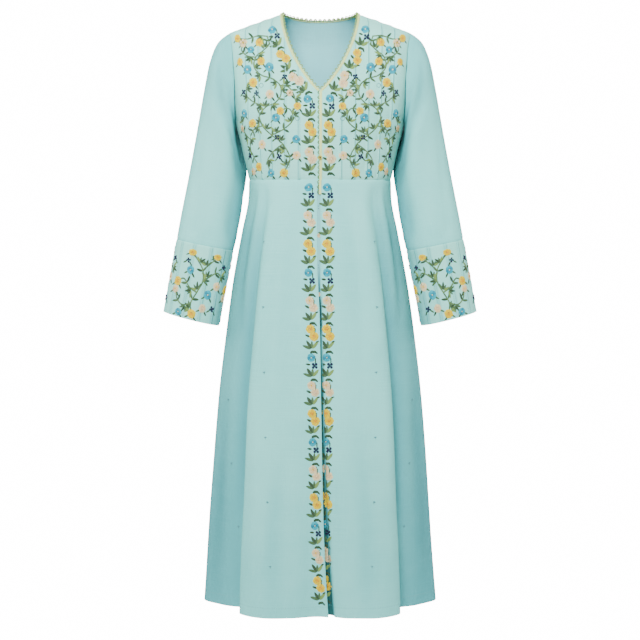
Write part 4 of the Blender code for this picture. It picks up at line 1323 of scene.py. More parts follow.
def add_tube(name, node, sign, turns, stations, material):
    """A closed tube of cloth through rings. Sign is 1 for the wearer's left."""
    flat = np.array([(turn, -station) for station in stations for turn in turns])
    outer = arm_skin(flat)
    normal = -surface_normals(sleeve_point, flat, 1e-3)
    count, rings = len(turns), len(stations)
    shape = outer.reshape(rings, count, 3)
    step = np.linalg.norm(shape - np.roll(shape, 1, axis=1), axis=2)
    lap = float(step.sum(axis=1).mean())
    around = np.concatenate([[0.0], np.cumsum(step[:, 1:].mean(axis=0))])
    middle = shape.mean(axis=1)
    down = np.concatenate([[0.0], np.cumsum(np.linalg.norm(np.diff(middle, axis=0), axis=1))])
    uv = np.array([(a * sign, -d) for d in down for a in around])
    faces = [face[::-1] for face in grid_faces(count, rings, closed=True)]
    if sign < 0:
        faces = [face[::-1] for face in faces]
    flip = (sign, 1.0, 1.0)
    uv[:, 0] = np.abs(uv[:, 0])
    obj = cloth_piece(name, node, outer * flip, normal * flip, faces, uv, material, lap,
                      arm_painted_shade(flat))
    print(name, "cut", round(lap, 3), "x", round(float(down[-1]), 3))


def add_arms():
    turns = math.pi + np.linspace(0.0, 2 * math.pi, 97)[:-1]
    rings = np.concatenate([np.linspace(0.0, 0.4, 7)[:-1], np.linspace(0.4, 7.0, 84)])
    tucks = (cuff_tuck_centres()[:, None] + TUCK_STEPS / CUFF_RADIUS).ravel()
    plain = (np.arange(CUFF_TUCKS)[:, None] + np.array((-0.3, -0.1, 0.1, 0.3))).ravel()
    cuff_turns = np.sort(np.mod(np.concatenate([tucks, plain * 2 * math.pi / CUFF_TUCKS]),
                                2 * math.pi))
    cuff_rings = np.concatenate([(7.0, 7.012, 7.03), np.linspace(7.06, 8.0, 30)])
    for side, sign in (("left", 1), ("right", -1)):
        add_tube(f"sleeve_cloth_{side}", f"sleeve_{side}", sign, turns, rings, SKIRT_CLOTH)
        add_tube(f"cuff_cloth_{side}", f"cuff_{side}", sign, cuff_turns, cuff_rings,
                 BODICE_CLOTH)


add_arms()

# %% [markdown]
# ## Thread work
#
# The embroidery is made of a few kinds of stitch: satin leaves and petals, plain stitches
# that follow each other along a stem, and French knots. Modelling each by hand would take
# thousands of steps. Instead a flat page lists a point for every stitch, with its turn, its
# size and its dye, and Geometry Nodes puts the right small shape on each point. The page
# is then bent over a panel's skin, the way that thread follows the cloth.

# %% Small shapes for the stitches
MOTIFS = {}


def domed_shape(name, half_width, height, rows, across, start=0.0):
    """A domed shape one long and one wide. Its strand attribute says where a point lies."""
    share = np.linspace(0.0, 1.0, rows + 2)[1:-1]
    side = np.linspace(-1.0, 1.0, across)
    points, strand, faces = [(start, 0.0, 0.0)], [(0.0, 0.0, 0.0)], []
    for x in share:
        for t in side:
            points.append((x + start, half_width(x) * t, height(x) * math.sqrt(1 - 0.96 * t * t)))
            strand.append((x, t, 0.0))
    points.append((1.0 + start, 0.0, 0.0))
    strand.append((1.0, 0.0, 0.0))
    last = len(points) - 1
    for j in range(across - 1):
        faces.append((0, 1 + j, 2 + j))
        faces.append((last, last - across + j + 1, last - across + j))
        for i in range(rows - 1):
            a = 1 + i * across + j
            faces.append((a, a + across, a + across + 1, a + 1))
    mesh = bpy.data.meshes.new(name)
    mesh.from_pydata(points, [], faces)
    mesh.shade_smooth()
    mesh.attributes.new("strand", "FLOAT_VECTOR", "POINT").data.foreach_set(
        "vector", np.array(strand).ravel())
    MOTIFS[name] = bpy.data.objects.new(name, mesh)
    bpy.context.scene.collection.objects.link(MOTIFS[name])
    print(name, len(faces), "faces")


def lens(power, lean):
    """A half width that is nothing at both ends. Lean moves its widest place onward."""
    return lambda x: 0.5 * math.sin(math.pi * x**lean) ** power


def round_ended(power):
    return lambda x: 0.5 * (1 - abs(2 * x - 1) ** power) ** 0.5


domed_shape("leaf", lens(0.62, 0.85), lambda x: math.sin(math.pi * x) ** 0.45, 6, 5)
domed_shape("petal", lens(0.46, 1.75), lambda x: math.sin(math.pi * x**1.1) ** 0.5, 5, 5)
domed_shape("stitch", round_ended(5), lambda x: 2 * round_ended(4)(x), 3, 4)
domed_shape("knot", round_ended(2), lambda x: 2 * round_ended(2)(x), 4, 5, -0.5)

# %% [markdown]
# The tree takes its points from the object that it sits on. Each named attribute is read
# where the copy is made, and the amounts that differ from stitch to stitch come from one
# seeded random value, because hand work is never quite even.

# %% The tree that sews


def sewing_tree():
    tree = bpy.data.node_groups.new("sew stitches", "GeometryNodeTree")
    face = tree.interface
    face.new_socket("Geometry", in_out="INPUT", socket_type="NodeSocketGeometry")
    face.new_socket("Stitch shape", in_out="INPUT", socket_type="NodeSocketObject")
    face.new_socket("Thread", in_out="INPUT", socket_type="NodeSocketMaterial")
    face.new_socket("Unevenness", in_out="INPUT", socket_type="NodeSocketFloat")
    face.new_socket("Seed", in_out="INPUT", socket_type="NodeSocketInt")
    face.new_socket("Geometry", in_out="OUTPUT", socket_type="NodeSocketGeometry")
    given = {s.socket.name: s for s in add_node(tree, "NodeGroupInput")}
    shape = add_node(tree, "GeometryNodeObjectInfo", None, Object=given["Stitch shape"])
    geometry = [wire for wire in shape if wire.socket.name == "Geometry"][0]
    turn = add_node(tree, "GeometryNodeInputNamedAttribute", {"data_type": "FLOAT_VECTOR"},
                    Name="turn")[0]
    size = add_node(tree, "GeometryNodeInputNamedAttribute", {"data_type": "FLOAT_VECTOR"},
                    Name="size")[0]
    wobble = random_value(tree, given["Seed"], given["Unevenness"])
    more = add_node(tree, "ShaderNodeVectorMath", {"operation": "MULTIPLY_ADD"},
                    s0=size, s1=wobble, s2=size)[0]
    lean = add_node(tree, "ShaderNodeVectorMath", {"operation": "MULTIPLY_ADD"},
                    s0=wobble, s1=(0.0, 0.0, 0.8), s2=turn)[0]
    rotation = add_node(tree, "FunctionNodeEulerToRotation", None, Euler=lean)[0]
    copies = add_node(tree, "GeometryNodeInstanceOnPoints", None, Points=given["Geometry"],
                      Instance=geometry, Rotation=rotation, Scale=more)[0]
    real = add_node(tree, "GeometryNodeRealizeInstances", None, Geometry=copies)[0]
    sewn = add_node(tree, "GeometryNodeSetMaterial", None, Geometry=real,
                    Material=given["Thread"])[0]
    add_node(tree, "NodeGroupOutput", None, Geometry=sewn)
    return tree


def random_value(tree, seed, amount):
    """A random vector between minus and plus the amount, for every point."""
    low = amount * -1.0
    ends = [add_node(tree, "ShaderNodeCombineXYZ", None, X=v, Y=v, Z=v)[0] for v in (low, amount)]
    node = tree.nodes.new("FunctionNodeRandomValue")
    node.data_type = "FLOAT_VECTOR"
    sockets = {s.name: s for s in node.inputs if s.enabled}
    for name, wire in (("Min", ends[0]), ("Max", ends[1]), ("Seed", seed)):
        tree.links.new(wire.socket, sockets[name])
    return Wire(tree, [s for s in node.outputs if s.enabled][0])


SEWING = sewing_tree()
print(SEWING.name, "has", len(SEWING.nodes), "nodes")

# %% [markdown]
# Embroidery cotton has a soft sheen, and its strands show as fine lines: across a satin leaf
# they lie slantwise from its vein, and along a stem they twist. Both come from the strand
# attribute, so they turn with every stitch.

# %% Thread materials


def thread_material(name, strands, slant, depth, gloss=0.48):
    material, tree, shader = new_material(name, gloss, 0.05)
    dye = add_node(tree, "ShaderNodeAttribute", {"attribute_name": "thread"})[0]
    place = add_node(tree, "ShaderNodeAttribute", {"attribute_name": "strand"})[1]
    along, across, _ = add_node(tree, "ShaderNodeSeparateXYZ", None, Vector=place)
    ply = ((along * strands + across.size() * slant) * (2 * math.pi)).sine()
    shade = 0.5 + ply * 0.5
    dark = add_node(tree, "ShaderNodeMix", {"data_type": "RGBA", "blend_type": "MULTIPLY"},
                    s0=1.0, s6=dye, s7=(0.62, 0.62, 0.66, 1.0))[0]
    colour = mixed(tree, (shade * 0.9).clamped(), dark, dye)
    tree.links.new(colour.socket, shader.inputs["Base Color"])
    bump = add_node(tree, "ShaderNodeBump", None, Strength=0.7, Distance=1.0,
                    Height=ply * depth)[0]
    tree.links.new(bump.socket, shader.inputs["Normal"])
    return material


SATIN = thread_material("satin stitched cotton", 11.0, -1.6, 0.00022)
TWISTED = thread_material("twisted cotton", 3.0, 0.9, 0.00012)
SEWING_THREAD = thread_material("sewing thread", 4.0, 1.0, 0.00005, 0.6)
CROCHET = thread_material("crochet cotton", 3.0, 1.1, 0.00014, 0.62)
THREAD_FOR = {"leaf": SATIN, "petal": SATIN, "stitch": TWISTED, "knot": TWISTED}

DYES = {
    "leaf": dyed(76, 112, 70),
    "dark leaf": dyed(54, 84, 54),
    "pale leaf": dyed(126, 162, 84),
    "stem": dyed(100, 134, 78),
    "blue": dyed(30, 186, 204),
    "deep blue": dyed(10, 148, 174),
    "navy": dyed(20, 26, 62),
    "yellow": dyed(255, 220, 24),
    "ochre": dyed(252, 178, 14),
    "peach": dyed(252, 232, 176),
    "pink": dyed(250, 200, 154),
    "cream": dyed(244, 238, 196),
    "brown": dyed(96, 58, 30),
    "dull teal": dyed(104, 160, 164),
    "aqua": dyed(112, 186, 186),
    "deep aqua": dyed(70, 158, 172),
    "lime": dyed(184, 216, 116),
    "pale lime": dyed(226, 246, 160),
    "sage": dyed(150, 188, 96),
}
print(len(DYES), "dyes")

# %% A flat page of stitches


class Page:
    """A flat drawing of stitches, with a list of points for each kind of shape."""

    def __init__(self, seed):
        self.rows = {kind: [] for kind in MOTIFS}
        self.chance = np.random.default_rng(seed)
        self.seed = seed

    def put(self, kind, place, angle, size, dye):
        tone = 1 + 0.10 * (self.chance.random() - 0.5)
        colour = [c * tone for c in DYES[dye][:3]] + [1.0]
        self.rows[kind].append((*place, angle, *size, *colour))

    def mirrored(self, seed):
        """The same page for the other side of the garment."""
        other = Page(seed)
        for kind, rows in self.rows.items():
            for x, y, angle, *rest in rows:
                other.rows[kind].append((-x, y, math.pi - angle, *rest))
        return other


def flat_stitches(name, kind, rows, thread, unevenness, seed):
    """The mesh of one kind of stitch on the flat page, through the sewing tree."""
    table = np.array(rows)
    mesh = bpy.data.meshes.new(name)
    mesh.from_pydata([(x, y, 0.0) for x, y in table[:, :2]], [], [])
    turns = np.zeros((len(table), 3))
    turns[:, 2] = table[:, 2]
    mesh.attributes.new("turn", "FLOAT_VECTOR", "POINT").data.foreach_set("vector", turns.ravel())
    mesh.attributes.new("size", "FLOAT_VECTOR", "POINT").data.foreach_set(
        "vector", table[:, 3:6].ravel())
    mesh.attributes.new("thread", "FLOAT_COLOR", "POINT").data.foreach_set(
        "color", table[:, 6:10].ravel())
    points = bpy.data.objects.new(name, mesh)
    bpy.context.scene.collection.objects.link(points)
    modifier = points.modifiers.new("sew", "NODES")
    modifier.node_group = SEWING
    values = {"Stitch shape": MOTIFS[kind], "Thread": thread, "Unevenness": unevenness,
              "Seed": seed}
    for item in SEWING.interface.items_tree:
        if item.name in values:
            modifier[item.identifier] = values[item.name]
    ready = points.evaluated_get(bpy.context.evaluated_depsgraph_get())
    result = bpy.data.meshes.new_from_object(ready)
    bpy.data.objects.remove(points)
    return result


def bend_over(mesh, skin, form):
    """Move a flat mesh onto a skin. Its height stands off along the form's normal."""
    place = np.empty(3 * len(mesh.vertices))
    mesh.vertices.foreach_get("co", place)
    place = place.reshape(-1, 3)
    found = []
    for part in np.array_split(place, max(1, len(place) // 20000)):
        flat = part[:, :2]
        rise = part[:, 2:] - 0.00015
        found.append(skin(flat) + surface_normals(form, flat, 1e-3) * rise)
    mesh.vertices.foreach_set("co", np.vstack(found).ravel())
    mesh.update()


def sew(name, page, skin, form, threads=THREAD_FOR, slot="picot_edging", unevenness=0.06):
    """Every kind of stitch on a page becomes one piece on the garment."""
    for kind, rows in page.rows.items():
        if not rows:
            continue
        title = f"{name}_{kind}"
        mesh = flat_stitches(title, kind, rows, threads[kind], unevenness, page.seed)
        bend_over(mesh, skin, form)
        mesh.name = title
        mesh.shade_smooth()
        piece = bpy.data.objects.new(title, mesh)
        bpy.context.scene.collection.objects.link(piece)
        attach(piece, "root")
        print(title, len(rows), "stitches", len(mesh.polygons), "faces")


# %% [markdown]
# ## Drawing with stitches
#
# The flowers and leaves here are the ordinary ones of crewel work: round flowers of five to
# eight petals, four-leaf sprigs, arched leaves, curling stems and knots. The layout of the
# vines is this lesson's own, and the border is a common repeat.

# %% Leaves, sprigs and flowers
MM = 0.001


def around(place, angle, reach):
    return (place[0] + reach * math.cos(angle), place[1] + reach * math.sin(angle))


def draw_leaf(page, place, angle, length, dye="leaf", width=0.33):
    page.put("leaf", place, angle, (length, length * width, 0.0009), dye)


def draw_sprig(page, place, angle, length, dyes=("leaf", "dark leaf", "pale leaf")):
    """Four leaves that fan out from one place."""
    for turn, share, dye in ((1.08, 0.95, dyes[0]), (0.42, 1.0, dyes[1]), (-0.16, 0.8, dyes[0]),
                             (-0.80, 1.0, dyes[2])):
        draw_leaf(page, around(place, angle + turn, 0.0006), angle + turn, length * share, dye)


def draw_curl(page, place, angle, length, dye="dark leaf"):
    """An arched leaf: three satin leaves that overlap and turn over a flower."""
    draw_leaf(page, place, angle + 0.80, length * 0.58, dye, 0.56)
    draw_leaf(page, around(place, angle + 0.75, length * 0.26), angle + 0.20, length * 0.62,
              dye, 0.56)
    draw_leaf(page, around(place, angle + 0.45, length * 0.64), angle - 0.75, length * 0.56,
              dye, 0.44)


BLOOM = 1.14
FLOWERS = {
    # petals, petal width, outer dye, inner dye, inner petals, centre dye
    "blue": (6, 0.92, "blue", "deep blue", 5, "cream"),
    "yellow": (8, 0.70, "yellow", "ochre", 6, "ochre"),
    "ochre": (7, 0.78, "yellow", "ochre", 6, "ochre"),
    "peach": (5, 1.00, "peach", "pink", 5, "yellow"),
    "pink": (6, 0.84, "peach", "pink", 6, "cream"),
}


def draw_flower(page, place, kind, across, turn=0.0):
    """A round flower: outer petals, shorter inner ones and a knot in the middle."""
    if kind == "navy":
        draw_knots(page, place, across, turn)
        return
    petals, width, outer, inner, inner_petals, centre = FLOWERS[kind]
    reach = BLOOM * across / 2
    for k in range(petals):
        angle = turn + 2 * math.pi * k / petals
        dye = outer if k % 3 else inner
        page.put("petal", around(place, angle, reach * 0.10), angle,
                 (reach * 0.92, reach * width, 0.0011), dye if kind == "blue" else outer)
    for k in range(inner_petals):
        angle = turn + 0.4 + 2 * math.pi * k / inner_petals
        page.put("leaf", around(place, angle, reach * 0.12), angle,
                 (reach * 0.46, reach * 0.20, 0.0015), inner)
    page.put("knot", place, turn, (reach * 0.34, reach * 0.34, 0.0019), centre)


def draw_knots(page, place, across, turn=0.0):
    """Four dark French knots round a fifth."""
    for k in range(4):
        angle = turn + math.pi / 4 + math.pi / 2 * k
        page.put("knot", around(place, angle, across * 0.33), angle,
                 (across * 0.48, across * 0.42, 0.0019), "navy")
    page.put("knot", place, turn, (across * 0.30, across * 0.30, 0.0015), "navy")


def draw_ring(page, place, across, dye="dull teal"):
    """A small open ring of chain stitches."""
    for k in range(9):
        turn = 2 * math.pi * k / 9
        page.put("stitch", around(place, turn, across / 2), turn + math.pi / 2 + 0.2,
                 (across * 0.38, across * 0.18, 0.0010), dye)


# %% Stems of stem stitch
STEM_STITCH = 0.0042
STEM_STEP = 0.0021
STEM_WIDTH = 0.0028


def smooth_line(points, spacing):
    """A Catmull-Rom curve through points, sampled evenly: its places and its directions."""
    points = np.asarray(points, float)
    padded = np.vstack([2 * points[0] - points[1], points, 2 * points[-1] - points[-2]])
    t = np.linspace(0.0, 1.0, 17)[:-1, None]
    parts = []
    for p0, p1, p2, p3 in zip(padded, padded[1:], padded[2:], padded[3:]):
        parts.append(0.5 * (2 * p1 + (p2 - p0) * t + (2 * p0 - 5 * p1 + 4 * p2 - p3) * t**2
                            + (3 * p1 - p0 - 3 * p2 + p3) * t**3))
    line = np.vstack([*parts, points[-1:]])
    step = np.linalg.norm(np.diff(line, axis=0), axis=1)
    along = np.concatenate([[0.0], np.cumsum(step)])
    at = np.arange(0.0, along[-1], spacing)
    place = np.stack([np.interp(at, along, line[:, k]) for k in range(2)], axis=1)
    run = np.gradient(place, axis=0) if len(place) > 1 else np.diff(points, axis=0)[:1]
    return place, np.arctan2(run[:, 1], run[:, 0])


def draw_stem(page, points, dyes=("stem", "leaf"), width=STEM_WIDTH):
    """Slanting stitches that overlap along a line, in two greens."""
    place, angle = smooth_line(points, STEM_STEP)
    for k in range(len(place)):
        start = around(place[k], angle[k], -STEM_STITCH / 2)
        page.put("stitch", start, angle[k] + 0.20, (STEM_STITCH, width, 0.0009),
                 dyes[(k // 5) % 2])


def draw_running(page, points, spacing, length, width, dye, height=0.0003):
    """Plain stitches in a line, with gaps between them."""
    place, angle = smooth_line(points, spacing)
    for p, a in zip(place, angle):
        page.put("stitch", p, a, (length, width, height), dye)


def draw_hook(page, place, angle, length):
    """A short curling stem that ends in a bud."""
    bends = ((0.0, 0.0), (0.45, 0.30), (0.50, 0.85), (0.78, 1.0))
    points = [around(place, angle + turn, length * share) for turn, share in bends]
    draw_stem(page, points, ("dark leaf", "leaf"), 0.0022)
    draw_leaf(page, points[-1], angle + 0.3, length * 0.42, "leaf", 0.50)


# %% [markdown]
# The border beside the opening is one unit that repeats every 168 mm: a blue flower with
# knots, a peach pair and a yellow pair, with a sprig and an arched leaf after each.

# %% The border's unit
BORDER_REPEAT = 0.168
BORDER_UNIT = (
    # along, across, what, size, turn in degrees
    (0, -2.5, "blue", 15.0, 10),
    (16, 4.0, "navy", 13.0, 0),
    (14, -4.0, "leaf", 10.5, 172),
    (10, 6.0, "hook", 10.0, 62),
    (38, -1.0, "sprig", 20.0, 96),
    (47, -5.0, "curl", 15.5, 0),
    (55, -3.0, "peach", 15.5, 20),
    (69, 4.0, "pink", 16.0, 50),
    (70, -3.5, "leaf", 11.5, 152),
    (80, 6.0, "leaf", 8.5, 20),
    (63, 5.5, "hook", 10.5, 58),
    (94, -1.5, "sprig", 20.0, 100),
    (103, -5.0, "curl", 15.5, -2),
    (111, -3.0, "ochre", 16.5, 30),
    (126, 3.5, "yellow", 17.5, 5),
    (127, -4.0, "leaf", 11.5, 155),
    (138, 6.0, "leaf", 8.5, 24),
    (119, 6.0, "hook", 10.5, 60),
    (151, -1.5, "sprig", 20.0, 94),
    (160, -4.5, "curl", 15.5, 2),
)
YOKE_SWAPS = {"peach": "ochre", "pink": "yellow", "ochre": "peach", "yellow": "pink"}


def draw_border(page, line, first, last, shift=0.0, stretch=1.0, swaps=None):
    """The unit along a line that runs down the cloth, from one distance to another."""
    place, angle = smooth_line(line, 0.001)
    swaps = swaps or {}
    for lap in range(-1, 8):
        for along, across, what, size, turn in BORDER_UNIT:
            at = (along * MM + lap * BORDER_REPEAT) * stretch + shift
            if not first <= at <= min(last, 0.001 * (len(place) - 1)):
                continue
            k = int(round(at / 0.001))
            down = angle[k]
            middle = around(place[k], down + math.pi / 2, across * MM)
            up = down + math.pi + math.radians(turn - 90)
            if what == "sprig":
                draw_sprig(page, middle, up, size * MM)
            elif what == "curl":
                draw_curl(page, middle, up, size * MM)
            elif what == "hook":
                draw_hook(page, middle, up, size * MM)
            elif what == "leaf":
                draw_leaf(page, middle, up, size * MM, "dark leaf", 0.40)
            else:
                draw_flower(page, middle, swaps.get(what, what), size * MM, math.radians(turn))


YOKE_BORDER_IN = 0.0188


def neck_border_line():
    """The border's line on a front: beside the V neckline, then down beside the edge."""
    neck = neck_line(60)
    run = np.gradient(neck, axis=0)
    run /= np.linalg.norm(run, axis=1)[:, None]
    aside = neck + 0.0205 * np.stack([-run[:, 1], run[:, 0]], axis=1)
    aside = aside[(aside[:, 0] > YOKE_BORDER_IN) & (aside[:, 1] < -0.026)]
    down = [(YOKE_BORDER_IN, h) for h in np.arange(aside[-1, 1] - 0.022, WAIST + 0.004, -0.02)]
    return np.vstack([aside[::6], down, [(YOKE_BORDER_IN, WAIST + 0.002)]])


# %% The vines of the yoke
YOKE_VINES = {
    "main": ((70, -315), (60, -292), (74, -264), (98, -246), (118, -228), (123, -206),
             (108, -190), (90, -183), (78, -168), (80, -148), (97, -135), (118, -128),
             (133, -112), (130, -92), (115, -79), (102, -66), (106, -50)),
    "inner low": ((98, -246), (72, -234), (54, -216), (60, -196), (77, -197)),
    "outer low": ((118, -228), (140, -235), (153, -255), (149, -280), (134, -300)),
    "outer middle": ((108, -190), (130, -184), (150, -172), (153, -152), (141, -142)),
    "inner middle": ((80, -148), (62, -152), (52, -166), (46, -184)),
    "shoulder": ((106, -50), (125, -49), (148, -55), (166, -53)),
    "outer high": ((130, -92), (148, -89), (161, -77), (158, -66)),
    "foot": ((74, -264), (94, -278), (108, -296), (104, -314)),
    "side": ((153, -255), (168, -244), (174, -226), (166, -208)),
}
YOKE_FLOWERS = (
    # across, up, kind, size, turn
    (72, -320, "yellow", 15, 10), (46, -286, "peach", 14, 40), (47, -254, "blue", 13, 15),
    (86, -250, "navy", 10, 0), (121, -264, "peach", 15, 25), (131, -308, "ochre", 15, 60),
    (101, -320, "blue", 13, 30), (82, -288, "navy", 10, 20), (158, -285, "navy", 10, 10),
    (150, -317, "peach", 13, 5), (165, -202, "blue", 14, 20), (142, -222, "ochre", 15, 0),
    (88, -212, "blue", 14, 45), (79, -199, "yellow", 13, 20), (44, -190, "ochre", 13, 15),
    (100, -166, "peach", 15, 5), (136, -142, "yellow", 16, 35), (160, -160, "navy", 10, 5),
    (129, -163, "navy", 10, 40), (70, -132, "navy", 10, 15), (101, -112, "blue", 15, 20),
    (148, -116, "blue", 15, 0), (118, -100, "yellow", 14, 30), (157, -62, "peach", 15, 15),
    (171, -52, "yellow", 14, 25), (122, -62, "ochre", 14, 50), (140, -76, "blue", 12, 10),
    (166, -100, "ochre", 13, 35), (176, -232, "peach", 12, 35), (59, -164, "peach", 11, 0),
)
YOKE_RINGS = ((64, -306), (44, -214), (118, -148))
SPRAY_EVERY = 0.0185
YOKE_BLOOM = 1.12


def draw_vine(page, points, every=SPRAY_EVERY, leaf=0.0138, first=0.5):
    """A stem with leaves: sprays and pairs of leaves take turns on its two sides."""
    draw_stem(page, points)
    place, angle = smooth_line(points, 0.001)
    at, turn = every * first, 0
    while at < 0.001 * (len(place) - 6):
        k = int(at / 0.001)
        side = 1 if turn % 2 else -1
        out = angle[k] + side * 1.05
        if turn % 3 == 1:
            draw_leaf(page, place[k], out, leaf * 1.05, "dark leaf")
            draw_leaf(page, place[k], angle[k] - side * 0.95, leaf, "leaf")
        else:
            draw_sprig(page, around(place[k], out, 0.0015), out, leaf * 1.05)
        at += every * (0.9 + 0.2 * page.chance.random())
        turn += 1


def draw_yoke(seed):
    page = Page(seed)
    for points in YOKE_VINES.values():
        draw_vine(page, np.array(points) * MM)
    for across, up, kind, size, turn in YOKE_FLOWERS:
        place = (across * MM, up * MM)
        draw_flower(page, place, kind, size * MM * YOKE_BLOOM, math.radians(turn))
        draw_leaf(page, around(place, -2.2, size * MM * 0.42), -2.2, 0.011, "dark leaf")
        draw_leaf(page, around(place, -0.7, size * MM * 0.42), -0.7, 0.010, "leaf")
    for place in YOKE_RINGS:
        draw_ring(page, np.array(place) * MM, 0.008)
    return page


def sew_yoke():
    border = neck_border_line()
    for side, sign in (("left", 1), ("right", -1)):
        vines = draw_yoke(11)
        vines = vines if sign > 0 else vines.mirrored(12)
        sew(f"yoke_{side}", vines, front_skin, on_front)
        edge = Page(21)
        draw_border(edge, border * (sign, 1.0), 0.002, 0.330, 0.008, 0.94, YOKE_SWAPS)
        sew(f"neck_border_{side}", edge, front_skin, on_front)


sew_yoke()

# %% The borders beside the opening of the skirt
BORDER_IN = 0.0155


def skirt_form(side):
    return lambda flat: skirt_point(np.stack([station_at(flat, side), flat[:, 1]], axis=1))


def sew_slit_borders():
    heights = np.arange(WAIST - 0.012, HEM + 0.006, -0.02)
    for side, sign in (("left", 1), ("right", -1)):
        page = Page(31)
        line = np.stack([np.full(len(heights), sign * BORDER_IN), heights], axis=1)
        draw_border(page, line, 0.001, 0.856, 0.003)
        sew(f"slit_border_{side}", page, skirt_panel_skin(side), skirt_form(side))


sew_slit_borders()

# %% [markdown]
# Tiny sprigs, called buti, are scattered over the skirt in a half drop: every other column
# starts half a step lower.

# %% The scattered sprigs
BUTI_ACROSS = 0.112
BUTI_DOWN = 0.150
BUTI_STATIONS = {"left": (0.0, 5.8), "right": (16.2, 22.0), "back": (6.2, 15.8)}


def draw_buti(page, place, turn):
    for k, dye in enumerate(("dull teal", "deep aqua", "dull teal")):
        angle = math.pi / 2 + turn + (k - 1) * 0.8
        draw_leaf(page, place, angle, 0.0042, dye, 0.36)
    page.put("knot", around(place, -math.pi / 2 + turn, 0.0012), 0.0, (0.0016, 0.0016, 0.0010),
             "dull teal")


def sew_buti():
    for side, signs in (("left", (1,)), ("right", (-1,)), ("back", (1, -1))):
        page = Page(41)
        for sign in signs:
            for i in range(1, 6):
                for j in range(8):
                    across = sign * (i - (0.5 if side == "back" else 0.0)) * BUTI_ACROSS
                    height = WAIST - 0.060 - (j + 0.5 * (i % 2)) * BUTI_DOWN * 0.86
                    flat = np.array([(across, height)])
                    station = float(station_at(flat, side)[0])
                    low, high = BUTI_STATIONS[side]
                    if low < station < high and height > HEM + 0.035:
                        draw_buti(page, flat[0], 0.3 * math.sin(3 * i + 2 * j))
        sew(f"buti_{side}", page, skirt_panel_skin(side), skirt_form(side))


sew_buti()

# %% The cuffs' vines
CUFF_VINES = {
    "main": ((52, 6), (58, 24), (50, 44), (42, 64), (46, 84), (58, 100), (70, 112)),
    "left": ((42, 64), (28, 76), (14, 84), (4, 74), (8, 62)),
    "right": ((50, 44), (66, 50), (80, 62), (92, 58)),
    "high": ((46, 84), (34, 98), (22, 112)),
    "foot": ((58, 24), (74, 18), (88, 26), (94, 38)),
}
CUFF_FLOWERS = (
    # across, up, kind, size, turn
    (52, 6, "yellow", 16, 0), (72, 117, "ochre", 16, 20), (10, 60, "peach", 14, 10),
    (94, 56, "yellow", 15, 35), (20, 116, "yellow", 15, 5), (96, 42, "peach", 13, 25),
    (26, 44, "blue", 15, 15), (70, 80, "blue", 14, 0), (32, 20, "pink", 14, 30),
    (78, 98, "navy", 10, 10), (2, 96, "navy", 10, 25), (80, 4, "blue", 13, 40),
    (12, 22, "navy", 10, 5),
)


def draw_cuff(page):
    unit = CUFF_ROUND / 3
    for lap in range(3):
        shift = (lap - 1.5) * unit + 0.002
        for points in CUFF_VINES.values():
            draw_vine(page, np.array(points) * MM + (shift, 0.006), 0.0178, 0.0134, 0.6)
        for across, up, kind, size, turn in CUFF_FLOWERS:
            place = (across * MM + shift, up * MM + 0.006)
            draw_flower(page, place, kind, size * MM, math.radians(turn + 20 * lap))
            draw_leaf(page, around(place, -2.3, size * MM * 0.40), -2.3, 0.011, "dark leaf")
            draw_leaf(page, around(place, -0.6, size * MM * 0.40), -0.6, 0.010, "leaf")


def cuff_form(sign):
    front = np.interp(math.pi / 2, CUFF_TURNS, CUFF_ARCS)

    def form(flat):
        turn = np.interp(front - sign * flat[:, 0], CUFF_ARCS, CUFF_TURNS)
        station = CUFF_END_STATION - flat[:, 1] / CUFF_LENGTH
        return sleeve_point(np.stack([turn, -station], axis=1)) * (sign, 1.0, 1.0)

    return form


def sew_cuffs():
    for side, sign in (("left", 1), ("right", -1)):
        page = Page(51)
        draw_cuff(page)
        page = page if sign > 0 else page.mirrored(52)
        sew(f"cuff_vines_{side}", page, cuff_skin(sign), cuff_form(sign))


sew_cuffs()

# %% [markdown]
# ## Sewing lines
#
# Fine running stitches hold each tuck at its foot, the hem, the cuff ends and the edges of
# the opening. They are nearly the colour of the cloth, so they read as thin lines.

# %% Running stitches
SEWING_THREADS = dict.fromkeys(MOTIFS, SEWING_THREAD)
FINE = dict(threads=SEWING_THREADS, slot="aqua_cloth", unevenness=0.03)


def sew_tuck_lines():
    foot = TUCK_HALF_WIDTH + 0.0004
    for side, sign in (("left", 1), ("right", -1)):
        page = Page(61)
        for centre in tuck_centres():
            top = np.interp(centre, NECK_SAMPLES[::-1, 0], NECK_SAMPLES[::-1, 1])
            if centre > NECK_SAMPLES[0, 0]:
                top = float(np.interp(-centre, -shoulder_flat(True, 30)[:, 0],
                                      shoulder_flat(True, 30)[:, 1]))
            for a in (centre - foot, centre + foot):
                line = [(sign * a, WAIST + 0.004), (sign * a, (WAIST + top) / 2),
                        (sign * a, top - 0.013)]
                # These stitches are darker than the cloth: the thread's own colour, and partly
                # painted shade for the thin shade line at each tuck's foot.
                draw_running(page, line, 0.0034, 0.0024, 0.00055, "deep aqua")
        sew(f"tuck_lines_{side}", page, front_skin, on_front, **FINE)


